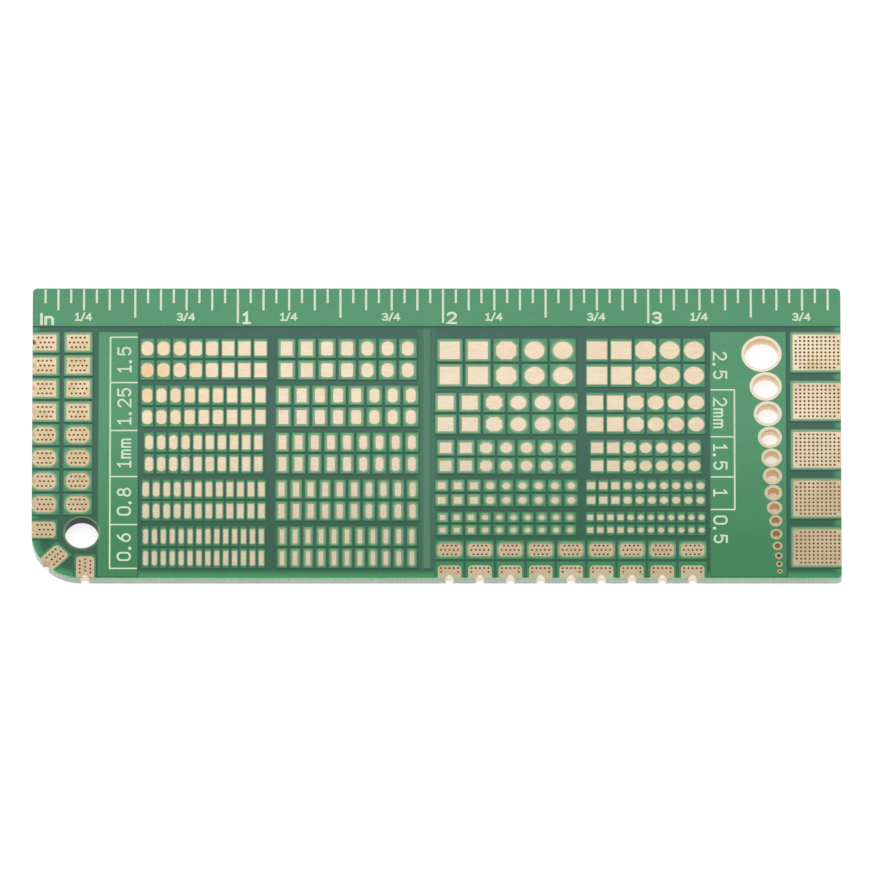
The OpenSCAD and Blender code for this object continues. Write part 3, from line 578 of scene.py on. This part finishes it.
def grow(name, points, tree, values, attributes=None):
    # points carry the tree, and the evaluated result becomes a plain mesh
    seed = bpy.data.meshes.new(name + "Points")
    seed.from_pydata(points or [(0, 0, 0)], [], [])
    for key, (kind, data) in (attributes or {}).items():
        a = seed.attributes.new(key, kind, "POINT")
        flat = [c for v in data for c in v] if kind == "FLOAT_VECTOR" else list(data)
        a.data.foreach_set("vector" if kind == "FLOAT_VECTOR" else "value", flat)
    holder = addObject(name + "Points", seed)
    mod = holder.modifiers.new("nodes", "NODES")
    mod.node_group = tree
    for item in tree.interface.items_tree:
        if item.item_type == "SOCKET" and item.in_out == "INPUT" and item.name in values:
            mod[item.identifier] = values[item.name]
    holder.update_tag()
    deps = bpy.context.evaluated_depsgraph_get()
    mesh = bpy.data.meshes.new_from_object(holder.evaluated_get(deps), preserve_all_data_layers=True,
                                           depsgraph=deps)
    mesh.name = name
    bpy.data.objects.remove(holder)
    return addObject(name, mesh)


def growBlocks(name, tree, values, spots, halves, cuts, **more):
    attributes = {"half": ("FLOAT_VECTOR", halves), "cut": ("INT", [int(c) for c in cuts])}
    attributes.update({key: ("FLOAT", data) for key, data in more.items()})
    return grow(name, [onBoard(s[0], s[1]) for s in spots], tree, values, attributes)


def finishPiece(piece, slotName, *stands):
    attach(piece, "root")
    if stands:
        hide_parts(*stands)


# rows of pads

rows = {
    "rowSpace": 1.0, "groupSpace": 0.75, "close": 0.5, "loose": 1.0, "blockTop": 33.07, "oblongL": 2.0,
    "squareShare": 0.33, "looseOblongShare": 0.27, "softShare": 0.25, "ovalShare": 0.46,
    "bevel": 0.04, "footZ": 1.56, "leastR": 0.05, "seed": 11,
}
padTone = {  # warm round one spot and at the right end, and a little by chance
    "warmX": 17.0, "warmY": 28.0, "warmReach": 8.0, "rightX": 68.0, "right": 0.25,
    "least": 0.5, "spread": 0.7, "stray": 0.3, "blush": 0.8,
}
oblongGroups = [("1_5", 1.5), ("1_25", 1.25), ("1", 1.0), ("0_8", 0.8), ("0_6", 0.6)]
squareGroups = [("2_5", 2.5), ("2", 2.0), ("1_5", 1.5), ("1", 1.0), ("0_5", 0.75)]
fields = [  # kind, spacing, left end, length, share of square pads, round ones at the left
    ("oblong", "close", 13.2275, 16.0, rows["squareShare"], True),
    ("oblong", "loose", 29.9475, 18.0, rows["looseOblongShare"], False),
    ("square", "loose", 49.6275, 18.0, rows["squareShare"], False),
    ("square", "close", 68.3475, 15.0, rows["squareShare"], False),
]
landPad = namedtuple("landPad", "x y landW landL w l r close")


def padRow(x, y, length, w, l, spacing, share, oblong, roundLeft):
    # round pads at one end, then softened ones, then square ones
    pitch = w + rows[spacing]
    n = int(length / pitch + 0.001)  # with room for rounding
    squares = int(n * share + 0.5)
    soft = (n - squares) // 2 if oblong else 1
    radii = [rows["ovalShare"] * w if oblong else w / 2] * (n - squares - soft)
    radii += [rows["softShare"] * w] * soft + [0.0] * squares
    if not roundLeft:
        radii.reverse()
    landW, landL = pitch - board["groove"], l + rows["rowSpace"] - board["groove"]
    return [landPad(x + length / 2 + (k - (n - 1) / 2) * pitch, y, landW, landL, w, l, r, spacing == "close")
            for k, r in enumerate(radii)]


def rowGroups():
    for kind, spacing, x, length, share, roundLeft in fields:
        top = rows["blockTop"]
        for label, w in oblongGroups if kind == "oblong" else squareGroups:
            l = rows["oblongL"] if kind == "oblong" else w
            step, pads = l + rows["rowSpace"], []
            for row in (0, 1):
                y = top - (step - board["groove"]) / 2 - row * step
                pads += padRow(x, y, length, w, l, spacing, share, kind == "oblong", roundLeft)
            yield kind + "_pads_" + label + "_" + spacing, pads
            top -= 2 * step - board["groove"] + rows["groupSpace"]


def blockHalf(w, l, r, cut=False):
    # r is the corner radius, or the corner cut of an eight-sided pad
    if cut:
        out = r / (math.cos(math.pi / 8) - math.sin(math.pi / 8))
        half = w / 2 + out * (1 - math.cos(math.pi / 8))
        return (half * mm, half * mm, out * mm)
    return (w / 2 * mm, l / 2 * mm, max(r, rows["leastR"]) * mm)


def isCut(p):
    return p.w == p.l and 0 < p.r < p.w / 2


def warmth(p):
    d2 = (p.x - padTone["warmX"]) ** 2 + (p.y - padTone["warmY"]) ** 2
    return math.exp(-d2 / padTone["warmReach"] ** 2) + (padTone["right"] if p.x > padTone["rightX"] else 0.0)


padTree = makeBlockTree("padBlocks", 2, True)
padValues = profile((0.0, rows["footZ"], 0.0), (-rows["bevel"], board["copperZ"], 0.0))
padValues["Finish"] = padGold
dice = random.Random(rows["seed"])
allPads = []
for name, pads in rowGroups():
    tones = [warmth(p) * (padTone["least"] + padTone["spread"] * dice.random())
             + padTone["stray"] * dice.random() ** 3 for p in pads]
    blushes = [dice.random() * padTone["blush"] for p in pads]
    piece = growBlocks(name.replace("_", " ").title().replace(" ", ""), padTree, padValues, pads,
                       [blockHalf(p.w, p.l, p.r, isCut(p)) for p in pads], [isCut(p) for p in pads],
                       tone=tones, blush=blushes)
    finishPiece(piece, "gold_pads", name)
    allPads += pads
print("pads grown,", len(allPads))


# perforated pads: their places, and the walls of their small holes

perforated = {  # sizes are x by y, and on an edge or at the corner from the edge by along it
    "leftY": 32.525, "leftPitch": 3.2, "leftCount": 8, "innerX": 5.665, "cornerPad": 6.63,
    "frontX": 81.5975, "frontPitch": 3.75, "frontCount": 9, "innerY": 3.83,
    "gridY": 31.15, "gridPitch": 6.74, "gridCount": 5,
    "edgeLand": (3.415, 2.95), "innerLand": (3.6, 2.95), "cornerLand": (3.215, 2.75),
    "frontLand": (2.25, 3.5), "frontInnerLand": (3.5, 2.66), "gridLand": (6.305, 5.7),
    "edgeWindow": (2.965, 2.25), "innerWindow": (2.9, 2.25), "frontInnerWindow": (2.9, 1.76),
    "gridWindow": (5.955, 5.0),
    "squareRows": 4, "roundR": 0.9, "frontR": 0.5,
}
smallHoles = {
    "pitch": 0.525, "leftRow": 0.66, "frontRow": 0.6, "shift": 0.265, "edgeFirst": 0.725,
    "frontFirst": 0.8, "gridFirst": 0.3, "gridDeep": 11, "gridWide": 9,
    "radius": 0.125, "lip": 0.04, "top": 1.575, "drop": 0.0008,
}
leftYs = [perforated["leftY"] - perforated["leftPitch"] * k for k in range(perforated["leftCount"])]
frontXs = [perforated["frontX"] - perforated["frontPitch"] * k for k in range(perforated["frontCount"])]
gridYs = [perforated["gridY"] - perforated["gridPitch"] * k for k in range(perforated["gridCount"])]


def viaPattern(kind):
    # u runs in from the edge or along a row of holes, v across it
    h, q, lines = smallHoles, smallHoles["pitch"], (-1, 0, 1)
    if kind == "edge":
        return [(h["edgeFirst"] + k * q + (h["shift"] if r == 0 else 0), r * h["leftRow"])
                for r in lines for k in range(4)]
    if kind in ("left", "front"):
        return [((k - (2 if r == 0 else 1.5)) * q, r * h[kind + "Row"])
                for r in lines for k in range(5 if r == 0 else 4)]
    if kind == "frontEdge":
        first = h["frontFirst"]
        return [(first + q, k * q) for k in range(-2, 3)] + [(first, -2 * q), (first, 2 * q)]
    lastU, lastV = h["gridDeep"] - 1, h["gridWide"] - 1
    return [(h["gridFirst"] + u * q, (v - lastV / 2) * q) for u in range(lastU + 1) for v in range(lastV + 1)
            if u not in (0, lastU) or v not in (0, lastV)]  # none in the corners


def viaSites():
    # kind, x, y and turn of every perforated pad
    at, arc = perforated["cornerPad"], board["cornerR"] * (1 - math.cos(math.pi / 4))
    sites = [("edge", 0.0, y, 0.0) for y in leftYs]
    sites += [("edge", 0.0, at, 0.0), ("edge", arc, arc, 45.0), ("edge", at, 0.0, 90.0)]
    sites += [("left", perforated["innerX"], y, 0.0) for y in leftYs]
    sites += [("frontEdge", x, 0.0, 90.0) for x in frontXs]
    sites += [("front", x, perforated["innerY"], 0.0) for x in frontXs]
    return sites + [("grid", board["length"], y, 180.0) for y in gridYs]


vias = []
for kind, x, y, turn in viaSites():
    c, s = math.cos(math.radians(turn)), math.sin(math.radians(turn))
    vias += [onBoard(x + c * u - s * v, y + s * u + c * v) for u, v in viaPattern(kind)]
viaValues = {key.title(): smallHoles[key] * mm for key in ("radius", "lip", "top", "drop")}
finishPiece(grow("ViaWalls", vias, makeViaTree(), {**viaValues, "Finish": viaFinish}), "plating")
print("via walls grown,", len(vias))


# sloping shoulders of the coat round every land, darkened with painted shade

shoulder = {
    "inset": 0.1, "width": 0.13, "brow": 0.01, "midZ": 1.555, "lift": 0.003, "landR": 0.12, "edgeGap": 0.005,
    "past": 1.0, "rulerY": 34.75, "rulerEnd": 0.01,
}
panels = {"leftX": 10.63, "leftW": 4.95, "rightX": 88.525, "rightW": 9.45, "depth": 34.0,
          "ridgeW": 0.8, "ridgeY": 17.8475, "ridgeL": 33.055}
panelEdge = panels["leftX"] - panels["leftW"] / 2  # the left panel's edge, which the lanyard hole cuts
shoulderRings = [  # growth, height and shade
    (shoulder["width"], board["filmZ"] + shoulder["lift"], 0.35),
    (shoulder["width"] / 2, shoulder["midZ"], 1.0), (shoulder["brow"], board["coatZ"], 0.8),
    (-shoulder["inset"], board["coatZ"] + shoulder["lift"], 0.0),
]


def fromEdge(size):
    # middle and length of a land at the board's edge: it starts past the edge, and is held to it
    return (size - shoulder["past"]) / 2, size + shoulder["past"]


def perforatedLands():
    p, at = perforated, perforated["cornerPad"]
    edgeX, edgeW = fromEdge(p["edgeLand"][0])
    frontY, frontL = fromEdge(p["frontLand"][0])
    gridX, gridW = fromEdge(p["gridLand"][0])
    corner, cornerL = fromEdge(p["cornerLand"][0])
    made = [(edgeX, y, edgeW, p["edgeLand"][1]) for y in leftYs]
    made += [(p["innerX"], y, *p["innerLand"]) for y in leftYs]
    made += [(x, frontY, p["frontLand"][1], frontL) for x in frontXs]
    made += [(x, p["innerY"], *p["frontInnerLand"]) for x in frontXs]
    made += [(board["length"] - gridX, y, gridW, p["gridLand"][1]) for y in gridYs]
    return made + [(corner, at, cornerL, p["cornerLand"][1]), (at, corner, p["cornerLand"][1], cornerL)]


def panelLands():
    y, l = fromEdge(panels["depth"])
    return [(panels["leftX"], y, panels["leftW"], l), (panels["rightX"], y, panels["rightW"], l),
            (board["ridgeX"], panels["ridgeY"], panels["ridgeW"], panels["ridgeL"])]


def edgeLimit(gap):
    return ((board["length"] / 2 - gap) * mm, (board["depth"] / 2 - gap) * mm, 1.0)


def openHole(piece):
    # the left panel's shoulder stops where the lanyard hole cuts into it
    r, edge, strip = board["lanyardD"] / 2 * mm, onBoard(panelEdge, 0).x, 0.2 * mm
    bm = bmesh.new()
    bm.from_mesh(piece.data)
    for share in (-0.5, -0.4, -0.2, 0.2, 0.4, 0.5):  # of the hole's radius
        near = [f for f in bm.faces if all(abs(v.co.x - edge) < strip for v in f.verts)]
        parts = near + list(dict.fromkeys(e for f in near for e in f.edges))
        parts += list(dict.fromkeys(v for f in near for v in f.verts))
        bmesh.ops.bisect_plane(bm, geom=parts, plane_co=(0, cornerAt.y + share * r, 0), plane_no=(0, 1, 0))
    gone = [f for f in bm.faces if (f.calc_center_median().xy - cornerAt.xy).length < r]
    bmesh.ops.delete(bm, geom=gone, context="FACES")
    bm.to_mesh(piece.data)
    bm.free()


lands = [p[:4] for p in allPads] + perforatedLands() + panelLands()
values = profile(*shoulderRings)
values.update({"Limit": edgeLimit(shoulder["edgeGap"]), "Corner": tuple(cornerAt),
               "Round": (board["cornerR"] - shoulder["edgeGap"]) * mm, "Finish": coatFinish})
shoulders = growBlocks("CoatShoulders", makeBlockTree("landShoulders", 4, False), values, lands,
                       [blockHalf(p[2], p[3], shoulder["landR"]) for p in lands], [0] * len(lands))
openHole(shoulders)
finishPiece(shoulders, "green_coat")
print("shoulders grown,", len(lands))


def coatStrip(name, columns, shades, closed):
    # faces between neighbouring columns of points, which all have the same shades
    n, deep = len(columns), len(shades)
    pairs = [(k * deep, (k + 1) % n * deep) for k in range(n if closed else n - 1)]
    mesh = bpy.data.meshes.new(name)
    mesh.from_pydata([p for column in columns for p in column], [],
                     [(a + j, a + j + 1, b + j + 1, b + j) for a, b in pairs for j in range(deep - 1)])
    mesh.attributes.new("shade", "FLOAT", "POINT").data.foreach_set("value", list(shades) * n)
    mesh.materials.append(coatFinish)
    finishPiece(addObject(name, mesh), "green_coat")


holeRim = {"inner": 0.004, "crest": 0.1, "width": 0.32, "pale": 0.4, "crestPale": 0.32, "lift": 0.005,
           "sides": 72}


def makeHoleRim():
    # the coat's edge catches light all round the lanyard hole
    columns = [[] for k in range(holeRim["sides"])]
    for k, column in enumerate(columns):
        a = 2 * math.pi * k / len(columns)
        for out in (holeRim["inner"], holeRim["crest"], holeRim["width"]):
            r = board["lanyardD"] / 2 + out
            x, y = board["cornerR"] + r * math.cos(a), board["cornerR"] + r * math.sin(a)
            column.append(onBoard(x, y, board["coatZ" if x > panelEdge else "filmZ"] + holeRim["lift"]))
    coatStrip("HoleRim", columns, (-holeRim["pale"], -holeRim["crestPale"], 0.0), True)


def makeRulerShoulder():
    # the ruler's land has one edge inside the board
    columns = [[onBoard(x, shoulder["rulerY"] - out, z) for out, z, dark in shoulderRings]
               for x in (board["length"] - shoulder["rulerEnd"], shoulder["rulerEnd"])]
    coatStrip("RulerShoulder", columns, [dark for out, z, dark in shoulderRings], False)


makeHoleRim()
makeRulerShoulder()


# the coat's thin lip round every pad, with a painted highlight on it

lip = {"close": 0.1, "loose": 0.26, "pale": 0.6, "fade": 0.25, "inward": 0.02, "edgeGap": 0.01,
       "outerLift": 0.004, "crestLift": 0.005, "footLift": 0.002}
window = namedtuple("window", "x y w l r cut close")


def padWindows():
    p, edgeW, gridW = perforated, perforated["edgeWindow"][0], perforated["gridWindow"][0]
    radii = [0.0 if k < p["squareRows"] else p["roundR"] for k in range(p["leftCount"])]
    made = [(p["innerX"], y, *p["innerWindow"], r) for y, r in zip(leftYs, radii)]
    made += [(edgeW / 2, y, *p["edgeWindow"], r) for y, r in zip(leftYs, radii)]
    made += [(x, p["innerY"], *p["frontInnerWindow"], p["frontR"]) for x in frontXs]
    made += [(board["length"] - gridW / 2, y, *p["gridWindow"], 0.0) for y in gridYs]
    onPads = [window(a.x, a.y, a.w, a.l, a.r, isCut(a), a.close) for a in allPads]
    return onPads + [window(*m, False, False) for m in made]


windows = padWindows()
lipTree = makeBlockTree("padLips", 3, False)
for spacing in ("close", "loose"):
    some = [w for w in windows if w.close == (spacing == "close")]
    values = profile((lip[spacing], board["coatZ"] + lip["outerLift"], -lip["fade"]),
                     (0.0, board["coatZ"] + lip["crestLift"], -lip["pale"]),
                     (-lip["inward"], board["copperZ"] + lip["footLift"], -1.0))
    values.update({"Limit": edgeLimit(lip["edgeGap"]), "Finish": coatFinish})
    lips = growBlocks("CoatLips" + spacing.title(), lipTree, values, some,
                      [blockHalf(w.w, w.l, w.r, w.cut) for w in some], [w.cut for w in some])
    finishPiece(lips, "green_coat")
print("lips grown,", len(windows))


# ruler ticks

ticks = {"count": 62, "pitch": board["inch"] / 16, "width": 0.27, "short": 1.9, "step": 1.0, "whole": 4.65,
         "start": 0.15}
tickValues = {key.title(): ticks[key] * mm for key in ("pitch", "width", "short", "step", "whole")}
tickValues.update({
    "Count": ticks["count"], "Height": board["printT"] * mm, "Finish": inkFinish,
    "Start": tuple(onBoard(ticks["pitch"], board["depth"] - ticks["start"], board["coatZ"]))})
finishPiece(grow("RulerTicks", [], makeTickTree(), tickValues), "print", "ruler_ticks")


# figures drawn with a round pen on a grid 4 wide and 6 high

def bow(cx, cy, rx, ry, a, b, n=8):
    turns = [math.radians(a + (b - a) * k / n) for k in range(n + 1)]
    return [(cx + rx * math.cos(t), cy + ry * math.sin(t)) for t in turns]


figureStrokes = {
    "0": [bow(2, 4.4, 2, 1.6, 0, 180), [(0, 4.4)] + bow(2, 1.6, 2, 1.6, 180, 360) + [(4, 4.4)]],
    "1": [[(0.7, 4.9), (2.1, 6), (2.1, 0)], [(0.6, 0), (3.6, 0)]],
    "2": [bow(2, 4.3, 1.9, 1.7, 165, -20) + [(3.3, 3.0), (0.1, 0), (4, 0)]],
    "3": [bow(1.9, 4.5, 1.8, 1.5, 150, -70) + [(1.5, 3.1)],
          [(1.5, 3.1)] + bow(1.9, 1.5, 2.0, 1.55, 75, -150)],
    "4": [[(3.0, 0), (3.0, 6)], [(3.0, 6), (0, 1.7), (4.1, 1.7)]],
    "5": [[(3.7, 6), (0.4, 6), (0.15, 3.3)] + bow(1.9, 2.0, 2.0, 1.95, 130, -145)],
    "6": [[(3.2, 6), (2.2, 5.4), (1.0, 4.0), (0.25, 2.8)] + bow(2, 1.9, 1.9, 1.9, 170, 360),
          bow(2, 1.9, 1.9, 1.9, 0, 170)],
    "8": [bow(2, 4.55, 1.6, 1.45, 270, 90), bow(2, 1.55, 1.95, 1.55, 90, 270),
          bow(2, 4.55, 1.6, 1.45, 90, -90), bow(2, 1.55, 1.95, 1.55, -90, 90)],
    ".": [[(0.5, 0.1), (0.52, 0.12)]],
    "/": [[(0, -0.5), (2.6, 6.5)]],
    "m": [[(0, 0), (0, 4)], [(0, 3.0)] + bow(1, 3.1, 1, 0.95, 160, 0, 6) + [(2, 0)],
          [(2, 3.0)] + bow(3, 3.1, 1, 0.95, 160, 0, 6) + [(4, 0)]],
    "n": [[(0, 0), (0, 4.2)], [(0, 3.0)] + bow(1.6, 2.9, 1.6, 1.3, 155, 0, 6) + [(3.2, 0)]],
    "I": [[(0, 0), (0, 6)]],
}
inkPen = {"layer": 0.003, "dot": 1.8, "capTurns": (-0.9, -0.45, 0.0, 0.45, 0.9), "gridH": 6,
          "widths": {".": 2.4, "/": 2.6, "1": 3.6, "n": 3.2, "I": 0.0}, "width": 4.0}


def figureWidth(c):
    return inkPen["widths"].get(c, inkPen["width"])


def penStroke(bm, points, w, layer):
    # a ribbon with round ends, closed all round; strokes that cross lie on layers of their own
    z0 = board["coatZ"] * mm
    z1 = z0 + (board["printT"] - inkPen["layer"] * layer) * mm
    pts = [Vector(p) for p in points]
    pts = [p for k, p in enumerate(pts) if k == 0 or (p - pts[k - 1]).length > 1e-9]
    left, right = [], []
    for k, p in enumerate(pts):
        d1 = (p - pts[k - 1]).normalized() if k else (pts[1] - p).normalized()
        d2 = (pts[k + 1] - p).normalized() if k + 1 < len(pts) else d1
        n = Vector((-(d1 + d2).y, (d1 + d2).x))
        n = n.normalized() if n.length > 1e-6 else Vector((-d1.y, d1.x))
        reach = w / 2 / max(0.5, n.dot(Vector((-d1.y, d1.x))))
        left.append(p + n * reach)
        right.append(p - n * reach)

    def cap(end, before):
        a = math.atan2(end.y - before.y, end.x - before.x)
        return [end + Vector((math.cos(a + t), math.sin(a + t))) * w / 2 for t in inkPen["capTurns"]]

    ring = right + cap(pts[-1], pts[-2]) + left[::-1] + cap(pts[0], pts[1])
    count, n = len(ring), len(pts)
    farLeft = count // 2  # where the left side starts, at the far end
    top = [bm.verts.new((p.x, p.y, z1)) for p in ring]
    low = [bm.verts.new((p.x, p.y, z0)) for p in ring]
    for side in (top, low):
        there, home = side[:n], side[farLeft:farLeft + n][::-1]
        faces = [[there[k], there[k + 1], home[k + 1], home[k]] for k in range(n - 1)]
        faces += [side[n - 1:farLeft + 1], side[farLeft + n - 1:] + side[:1]]
        for f in faces:
            bm.faces.new(f if side is top else f[::-1])
    for k in range(count):
        after = (k + 1) % count
        bm.faces.new((low[k], low[after], top[after], top[k]))


def writeWord(bm, word, x, y, h, w, turn=0.0, centred=True, stretch=1.0, space=1.9):
    unit = (h - w) / inkPen["gridH"]
    at = (space - sum(figureWidth(c) + space for c in word)) / 2 if centred else 0.0
    c, s = math.cos(math.radians(turn)), math.sin(math.radians(turn))
    for ch in word:
        for layer, stroke in enumerate(figureStrokes[ch]):
            pts = []
            for u, v in stroke:
                px, py = unit * stretch * (u + at), unit * v
                pts.append(onBoard(x + c * px - s * py, y + s * px + c * py).xy)
            penStroke(bm, pts, w * mm * (inkPen["dot"] if ch == "." else 1.0), layer)
        at += figureWidth(ch) + space


def drawLine(bm, x0, y0, x1, y1, w, layer=0):
    penStroke(bm, [onBoard(x0, y0).xy, onBoard(x1, y1).xy], w * mm, layer)


def inkPiece(name, stands, draw, *how):
    bm = bmesh.new()
    draw(bm, *how)
    mesh = bpy.data.meshes.new(name)
    bm.to_mesh(mesh)
    bm.free()
    mesh.materials.append(inkFinish)
    finishPiece(addObject(name, mesh), "print", stands)


figures = {
    "inchH": 1.75, "inchPen": 0.34, "inchAt": (0.56, 35.2), "unitAt": (1.1, 35.04), "unitStretch": 1.15,
    "quarterH": 1.12, "quarterPen": 0.215, "quarterAt": (-0.1, 35.6), "quarterSpace": 1.1, "stretch": 1.1,
}


def drawRulerFigures(bm):
    f, inch = figures, board["inch"]
    writeWord(bm, "In", *f["unitAt"], f["inchH"], f["inchPen"], centred=False, stretch=f["unitStretch"])
    x, y = f["inchAt"]
    for n in (1, 2, 3):
        writeWord(bm, str(n), n * inch + x, y, f["inchH"], f["inchPen"], centred=False, stretch=f["stretch"])
    x, y = f["quarterAt"]
    for n in range(4):
        for q in (1, 3):
            writeWord(bm, str(q) + "/4", (n + q / 4) * inch + x, y, f["quarterH"], f["quarterPen"],
                      stretch=f["stretch"], space=f["quarterSpace"])


labels = {
    "height": 1.78, "pen": 0.24, "line": 0.195, "space": 1.85,
    "leftFrame": (9.65, 12.95), "leftLines": (33.22, 26.93, 20.3, 13.93, 7.3, 1.25), "leftBase": 12.16,
    "leftWords": (("1.5", 30.05), ("1.25", 23.6), ("1mm", 17.1), ("0.8", 10.47), ("0.6", 4.2)),
    "rightFrame": (86.83, 83.95), "rightLines": (25.93, 19.43, 13.88, 9.38), "rightBase": 84.29,
    "rightWords": (("2.5", 29.3), ("2mm", 22.75), ("1.5", 16.7), ("1", 11.75), ("0.5", 6.62)),
}


def drawLabels(bm, side, turn):
    g = labels
    (near, far), lines = g[side + "Frame"], g[side + "Lines"]
    for y in lines:
        drawLine(bm, near, y, far, y, g["line"])
    drawLine(bm, near, lines[-1], near, lines[0], g["line"], 1)
    for word, y in g[side + "Words"]:
        writeWord(bm, word, g[side + "Base"], y, g["height"], g["pen"], turn=turn, space=g["space"])


inkPiece("RulerFigures", "ruler_figures", drawRulerFigures)
inkPiece("LeftLabels", "left_label_print", drawLabels, "left", 90)
inkPiece("RightLabels", "right_label_print", drawLabels, "right", -90)
print("print drawn")


# studio: floor, light and camera, in metres

floorLook = {
    "half": 4.0, "z": -0.00002, "grey": 0.5, "roughness": 0.9, "specular": 0.1, "glow": 0.7,
    "underHoles": (0.7, 0.53, 0.38, 1), "holesX": 0.0405, "besideX": (0.004, 0.006),
    "nearY": (-0.0195, -0.019), "farY": (-0.009, 0.001),
}
worldLook = {"light": 0.83, "lean": 0.4}
keyLook = {"place": (-0.28, 0.22, 0.48), "size": 0.3, "power": 0.4}
view = {"elevation": 63.3, "distance": 4.8, "imagePx": 872, "pxPerMm": 8.09, "lowerPx": 3.27, "leftPx": 0.57}


def makeFloor():
    # pale, with painted shadow and a warm painted bounce of light where it is seen through the small plated
    # holes
    look, h, low = floorLook, floorLook["half"], floorLook["z"]
    mesh = bpy.data.meshes.new("floor")
    mesh.from_pydata([(-h, -h, low), (h, -h, low), (h, h, low), (-h, h, low)], [], [(0, 1, 2, 3)])
    m = bpy.data.materials.new("paleFloor")
    m.use_nodes = True
    t = m.node_tree
    ins = t.nodes["Principled BSDF"].inputs
    ins["Base Color"].default_value = (look["grey"], look["grey"], look["grey"], 1)
    ins["Roughness"].default_value = look["roughness"]
    ins["Specular IOR Level"].default_value = look["specular"]
    path = put(t, "ShaderNodeLightPath").outputs
    seen = calc(t, "MAXIMUM", path["Is Camera Ray"], path["Is Glossy Ray"])
    x, y, z = split(t, put(t, "ShaderNodeTexCoord").outputs["Object"])
    across = fade(t, calc(t, "ABSOLUTE", calc(t, "SUBTRACT", x, look["holesX"])), *look["besideX"])
    along = calc(t, "MULTIPLY", ramp(t, y, *look["nearY"]), fade(t, y, *look["farY"]))
    under = calc(t, "MULTIPLY", across, along)
    # painted shadow and warm painted bounce light on the floor under the small holes
    t.links.new(mixColor(t, under, (1, 1, 1, 1), look["underHoles"]), ins["Emission Color"])
    t.links.new(calc(t, "MULTIPLY", seen, look["glow"]), ins["Emission Strength"])
    mesh.materials.append(m)
    floor = addObject("floor", mesh)


def makeWorld():
    # white to the camera, and a dome that is brighter behind the board
    w = bpy.data.worlds.new("studioWorld")
    scene.world = w
    w.use_nodes = True
    t = w.node_tree
    back = t.nodes["Background"]
    back.inputs[0].default_value = (1, 1, 1, 1)
    path = put(t, "ShaderNodeLightPath").outputs
    seen = calc(t, "MAXIMUM", path["Is Camera Ray"], path["Is Transmission Ray"])
    y = split(t, put(t, "ShaderNodeTexCoord").outputs["Generated"])[1]
    light, lean = worldLook["light"], worldLook["lean"]
    dome = ramp(t, y, -1.0, 1.0, light * (1 - lean), light * (1 + lean), False)
    t.links.new(mixNumber(t, seen, dome, 1.0), back.inputs[1])


def makeKeyLamp():
    data = bpy.data.lights.new("keyLamp", "AREA")
    data.shape = "RECTANGLE"
    data.size = data.size_y = keyLook["size"]
    data.energy = keyLook["power"]
    lamp = addObject("keyLamp", data)
    lamp.location = keyLook["place"]
    lamp.rotation_euler = (-Vector(keyLook["place"])).to_track_quat("-Z", "Y").to_euler()


def makeCamera():
    e = math.radians(view["elevation"])
    up = Vector((0, math.sin(e), math.cos(e)))
    target = Vector((-view["leftPx"] / view["pxPerMm"] * mm, 0, board["coatZ"] * mm))
    target -= up * view["lowerPx"] / view["pxPerMm"] * mm
    cam = bpy.data.cameras.new("camera")
    cam.lens = cam.sensor_width * view["distance"] / (view["imagePx"] / view["pxPerMm"] * mm)
    cam.clip_end = 100
    obj = addObject("camera", cam)
    obj.location = target + Vector((0, -math.cos(e), math.sin(e))) * view["distance"]
    obj.rotation_euler = (math.pi / 2 - e, 0, 0)
    scene.camera = obj


makeFloor()
makeWorld()
makeKeyLamp()
makeCamera()
print("studio set")
